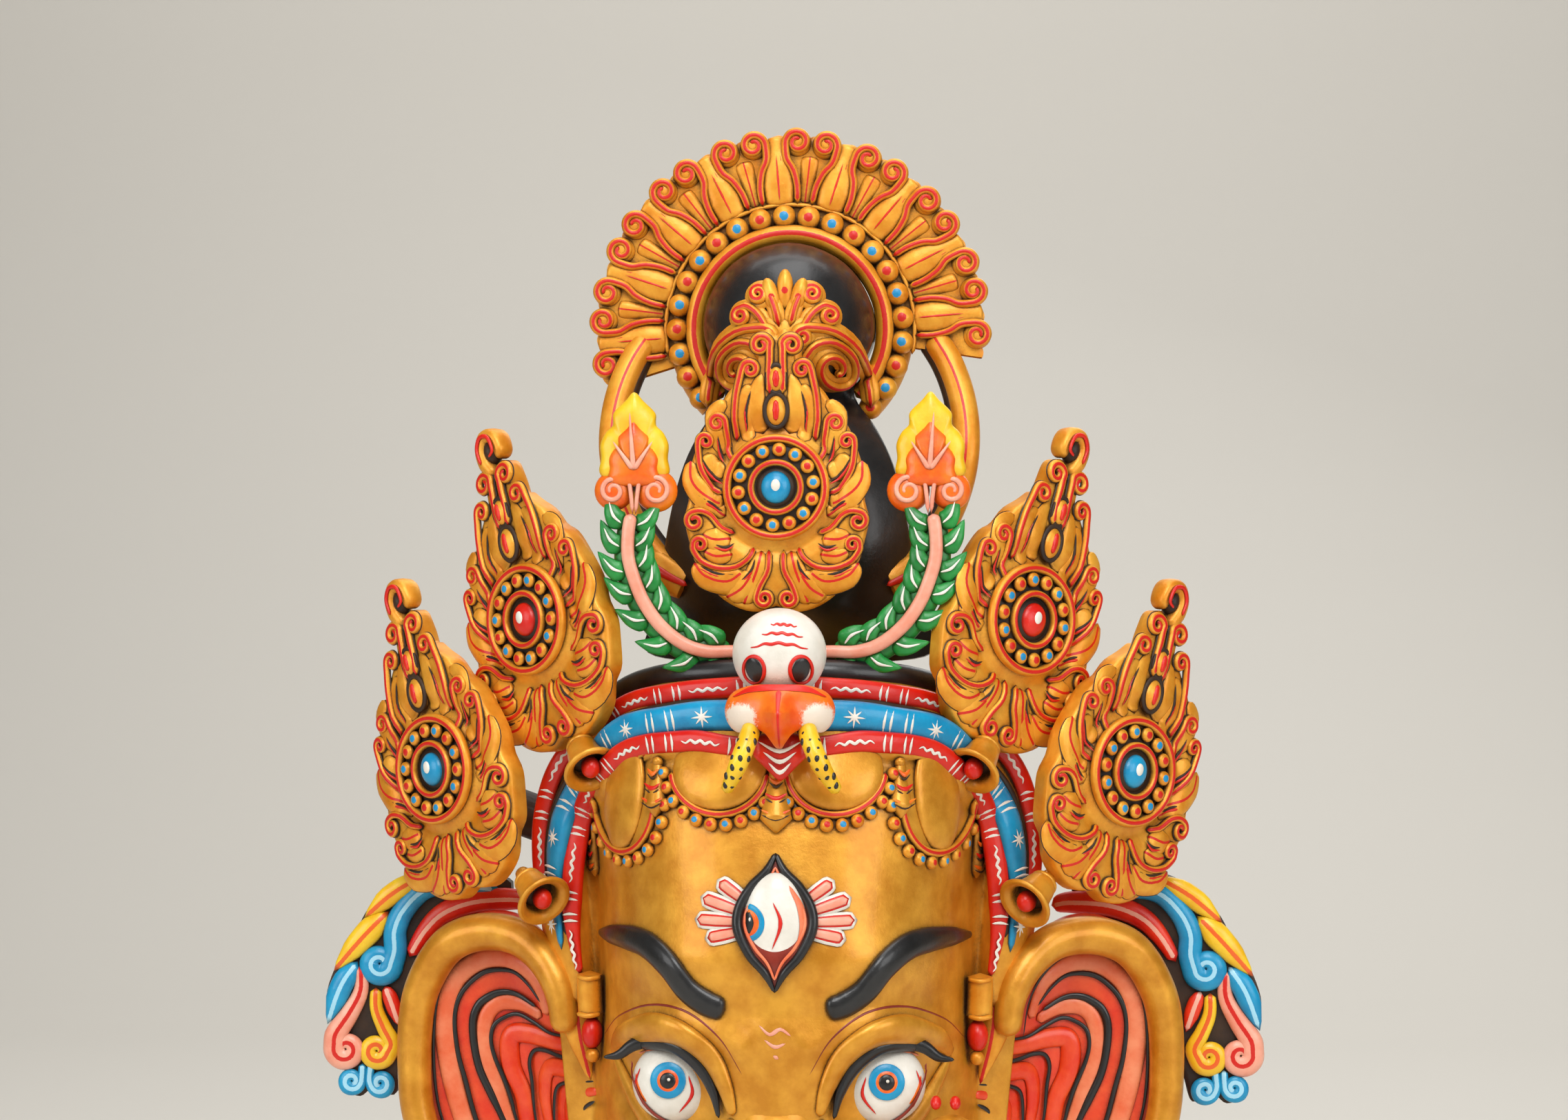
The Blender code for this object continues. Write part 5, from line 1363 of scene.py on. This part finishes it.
def make_ear(side):
    """A dished ear: gold rolled rim, salmon and red bands and black lines."""
    bm = begin()

    def place(u, v):
        edge = outline_place(EAR_OUTLINE, u)
        share = np.interp(v, [0, 0.8, 0.88, 1.0], [0, 1, 1, 0])
        x = EAR_X + (edge[:, 0] - EAR_X) * share
        z = EAR_Z + (edge[:, 1] - EAR_Z) * share
        level = np.interp(v, [0.8, 0.88], [1, 0])
        depth = ear_depth(x, z) * level + EAR_BACK * (1 - level)
        return np.column_stack([side * x, z, depth]), NO_MARK

    patch(bm, 130, 74, place, EAR_RED)
    stroke(bm, both(EAR_RIM, side), [8, 10, 11, 11.5, 11.5, 11, 10.5, 10, 9.5, 8], RIM, 0.95, steps=10,
           sides=28)
    for paint, widths, line in EAR_BANDS:
        stroke(bm, both(line, side), widths, paint, 0.42, ear_depth, 0.8, steps=8, sides=16)
    for half, line in EAR_LINES:
        stroke(bm, both(line, side), [0.4 * half, half, half, half, 0.4 * half], EAR_BLACK, 0.5, ear_depth,
               2.2, steps=6, sides=8)
    finish(bm, sided("ear", side), EAR_PAINTS)


RIBBON_PAINTS = ["blue_enamel_pale_lines", "pink_enamel_red_lines", "yellow_enamel_orange_lines",
                 "red_enamel_pink_lines", "patina_shadow"]
R_BLUE, R_PINK, R_YELLOW, R_RED, R_BOARD = range(5)
RIBBON_STROKES = [
    # paint, widths, line and, for those that curl, the spiral's centre, radius and hand
    (R_RED, [4, 6, 6, 5, 3], [(160, -246), (172, -244), (195, -245.6), (214, -252.6), (226, -264),
                              (236, -280)], None),
    (R_YELLOW, [4, 6, 6.5, 3], [(178, -230), (204, -227), (232, -231)], None),
    (R_YELLOW, [2, 5.5, 5.5, 1], [(226, -229), (245, -240), (264, -256)], None),
    (R_YELLOW, [2, 6.9, 6, 1], [(249, -252), (264.5, -268), (283, -289)], None),
    (R_BLUE, [4, 6, 6.6, 6.6, 5, 3], [(180, -238), (204, -236), (225, -238), (238.4, -250), (244.5, -263),
                                      (244.5, -275)], ((254, -284), 7.8, 1)),
    (R_BLUE, [2, 6, 6, 1], [(268, -283), (278, -298), (287, -322)], None),
    (R_PINK, [3, 6, 6, 5, 4, 3], [(266, -285), (266, -301), (273, -315), (281, -327)],
     ((275.3, -337), 8.0, -1)),
    (R_YELLOW, [3, 5, 5, 4, 3], [(256.7, -299), (256.3, -312), (251.5, -324), (247, -333)],
     ((256, -338), 7.4, 1)),
    (R_RED, [2, 4, 4, 1], [(251, -298), (246.8, -308), (242, -323)], None),
    (R_BLUE, [2, 4, 3, 2.6], [(265, -346), (265.4, -355)], ((271.5, -356.7), 6.0, 1)),
    (R_BLUE, [2, 4, 3, 2.6], [(259.6, -346), (260.7, -355)], ((253.8, -358), 6.4, -1))]
RIBBON_BOARD = [(170, -232), (196, -229), (224, -224), (244, -232), (262, -248), (272, -266), (283, -284),
                (290, -306), (284, -322), (276, -330), (281, -345), (276, -352), (280, -364), (268, -370),
                (258, -363), (246, -369), (240, -352), (226, -330), (205, -290), (182, -262)]


def make_ribbon(side):
    """The board of painted ribbon scrolls and leaves that flares out behind an ear."""
    bm = begin()

    def place(u, v):
        edge = outline_place(RIBBON_BOARD, u)
        middle = np.array((245, -290))
        share = np.interp(v, [0, 0.45, 0.55, 1.0], [0, 0.96, 0.96, 0])[:, None]
        spot = middle + (edge - middle) * share
        depth = np.interp(v, [0.45, 0.55], [13.5, 0.3])
        return np.column_stack([side * spot[:, 0], spot[:, 1], depth]), NO_MARK

    patch(bm, 100, 24, place, R_BOARD)
    for paint, widths, line, curl in RIBBON_STROKES:
        full = scroll(line, *curl, 1.4) if curl else line
        stroke(bm, [(side * x, z, 15.5) for x, z in full], [1.2 * w for w in widths], paint, 0.6, steps=5,
               sides=16, mark=1.3)
    finish(bm, sided("ribbon", side), RIBBON_PAINTS)


# Stage

def plain(name, colour, roughness):
    """A plain matt paint for the stage."""
    made = bpy.data.materials.new(name)
    made.use_nodes = True
    made.node_tree.nodes["Principled BSDF"].inputs["Base Color"].default_value = linear(colour)
    made.node_tree.nodes["Principled BSDF"].inputs["Roughness"].default_value = roughness
    return made


def look(obj, target):
    """Turn a camera or light towards a place."""
    obj.rotation_euler = (Vector(target) - obj.location).to_track_quat("-Z", "Y").to_euler()


def make_stage(settings):
    """Pale sweep of floor and backdrop, soft lights and the camera of the photo."""
    scene = bpy.context.scene
    bm = bmesh.new()
    floor, back, bend = -0.62, 3.4, 1.4
    turns = [math.radians(a) for a in range(0, 91, 9)]
    profile = [(-16.0, floor)] + [(back - bend + bend * math.sin(a),
                                   floor + bend - bend * math.cos(a)) for a in turns]
    profile.append((back, 5.0))
    verts = [bm.verts.new((-14.0, y, z)) for y, z in profile]
    edges = [bm.edges.new(pair) for pair in zip(verts, verts[1:])]
    swept = bmesh.ops.extrude_edge_only(bm, edges=edges)["geom"]
    bmesh.ops.translate(bm, verts=[v for v in swept if isinstance(v, bmesh.types.BMVert)], vec=(28.0, 0, 0))
    bmesh.ops.recalc_face_normals(bm, faces=bm.faces)
    mesh = bpy.data.meshes.new("backdrop")
    bm.to_mesh(mesh)
    bm.free()
    mesh.shade_smooth()
    backdrop = bpy.data.objects.new("backdrop", mesh)
    mesh.materials.append(plain("matt_backdrop_paper", "#D9D5CD", 0.85))
    scene.collection.objects.link(backdrop)
    for name, place, size, power in (("key", (0.15, -2.1, 1.6), 1.2, settings.key_power),
                                     ("fill_left", (-1.8, -1.8, 0.5), 1.3, 0.5 * settings.key_power),
                                     ("fill_right", (1.8, -1.8, 0.5), 1.3, 0.5 * settings.key_power),
                                     ("top", (0.1, -0.4, 2.1), 1.4, 0.5 * settings.key_power),
                                     ("behind", (0.9, 2.3, 1.6), 1.6, 0.35 * settings.key_power),
                                     ("wall", (0, 1.4, 2.6), 2.4, 1.1 * settings.key_power)):
        data = bpy.data.lights.new(name, "AREA")
        data.size = size
        data.energy = power
        light = bpy.data.objects.new(name, data)
        light.location = place
        look(light, (0, 3.2, 0.2) if name == "wall" else (0, -0.08, -0.1))
        scene.collection.objects.link(light)
    world = bpy.data.worlds.new("studio")
    world.use_nodes = True
    world.node_tree.nodes["Background"].inputs["Color"].default_value = linear("#F4F0E8")
    world.node_tree.nodes["Background"].inputs["Strength"].default_value = 0.22
    scene.world = world
    aim = Vector((-0.0005, -0.080, -0.0346))
    turn = math.radians(3.0)
    data = bpy.data.cameras.new("camera")
    data.lens = settings.lens
    data.sensor_width = 36.0
    camera = bpy.data.objects.new("camera", data)
    camera.location = aim + Vector((math.sin(turn), -math.cos(turn), 0)) * 2.0
    look(camera, aim)
    scene.collection.objects.link(camera)
    scene.camera = camera
    scene.render.resolution_x = 2274
    scene.render.resolution_y = 1624
    scene.view_settings.view_transform = "Standard"
    scene.view_settings.exposure = settings.exposure


# Add-on

class MaskSettings(bpy.types.PropertyGroup):
    """What can be set before the mask and its stage are built."""
    key_power: FloatProperty(name="Key Light", description="Power of the main light in watts", default=46.0,
                             min=0.0, unit="POWER")
    lens: FloatProperty(name="Lens", description="Focal length of the camera in millimetres", default=77.1,
                        min=10.0)
    exposure: FloatProperty(name="Exposure", description="Brightness of the picture in stops",
                            default=-0.25)
    ribbons: BoolProperty(name="Ribbons", description="Add the ribbon scrolls behind the ears",
                          default=True)


class MASK_OT_face(bpy.types.Operator):
    """Build the head block and the tusks"""
    bl_idname = "mask.face"
    bl_label = "Face"

    def execute(self, context):
        make_face()
        make_tusks()
        return {"FINISHED"}


class MASK_OT_crown(bpy.types.Operator):
    """Build the five crown leaves"""
    bl_idname = "mask.crown"
    bl_label = "Crown Leaves"

    def execute(self, context):
        make_crown()
        return {"FINISHED"}


class MASK_OT_halo(bpy.types.Operator):
    """Build the halo and the topknot in it"""
    bl_idname = "mask.halo"
    bl_label = "Halo"

    def execute(self, context):
        make_topknot()
        make_halo()
        return {"FINISHED"}


class MASK_OT_skull(bpy.types.Operator):
    """Build the skull and the garlands beside it"""
    bl_idname = "mask.skull"
    bl_label = "Skull and Garlands"

    def execute(self, context):
        make_skull()
        for side in (-1, 1):
            make_garland(side)
        return {"FINISHED"}


class MASK_OT_ears(bpy.types.Operator):
    """Build the ears and the ribbons behind them"""
    bl_idname = "mask.ears"
    bl_label = "Ears"

    def execute(self, context):
        for side in (-1, 1):
            make_ear(side)
            if context.scene.mask_settings.ribbons:
                make_ribbon(side)
        return {"FINISHED"}


class MASK_OT_stage(bpy.types.Operator):
    """Set up the backdrop, the lights and the camera"""
    bl_idname = "mask.stage"
    bl_label = "Stage"

    def execute(self, context):
        make_stage(context.scene.mask_settings)
        return {"FINISHED"}


OPERATORS = (MASK_OT_face, MASK_OT_crown, MASK_OT_halo, MASK_OT_skull, MASK_OT_ears, MASK_OT_stage)


class MASK_PT_panel(bpy.types.Panel):
    """Settings and the steps that build the mask"""
    bl_idname = "MASK_PT_panel"
    bl_label = "Ganesha Mask"
    bl_space_type = "VIEW_3D"
    bl_region_type = "UI"
    bl_category = "Mask"

    def draw(self, context):
        for key in ("key_power", "lens", "exposure", "ribbons"):
            self.layout.prop(context.scene.mask_settings, key)
        for operator in OPERATORS:
            self.layout.operator(operator.bl_idname)


def register():
    """Add the settings, operators and panel."""
    for kind in (MaskSettings, *OPERATORS, MASK_PT_panel):
        bpy.utils.register_class(kind)
    bpy.types.Scene.mask_settings = PointerProperty(type=MaskSettings)


def unregister():
    """Take them away again."""
    del bpy.types.Scene.mask_settings
    for kind in reversed((MaskSettings, *OPERATORS, MASK_PT_panel)):
        bpy.utils.unregister_class(kind)


def main():
    """Build the mask and its stage."""
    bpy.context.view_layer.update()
    register()
    bpy.ops.mask.face()
    bpy.ops.mask.crown()
    bpy.ops.mask.halo()
    bpy.ops.mask.skull()
    bpy.ops.mask.ears()
    bpy.ops.mask.stage()


if __name__ == "__main__":
    main()
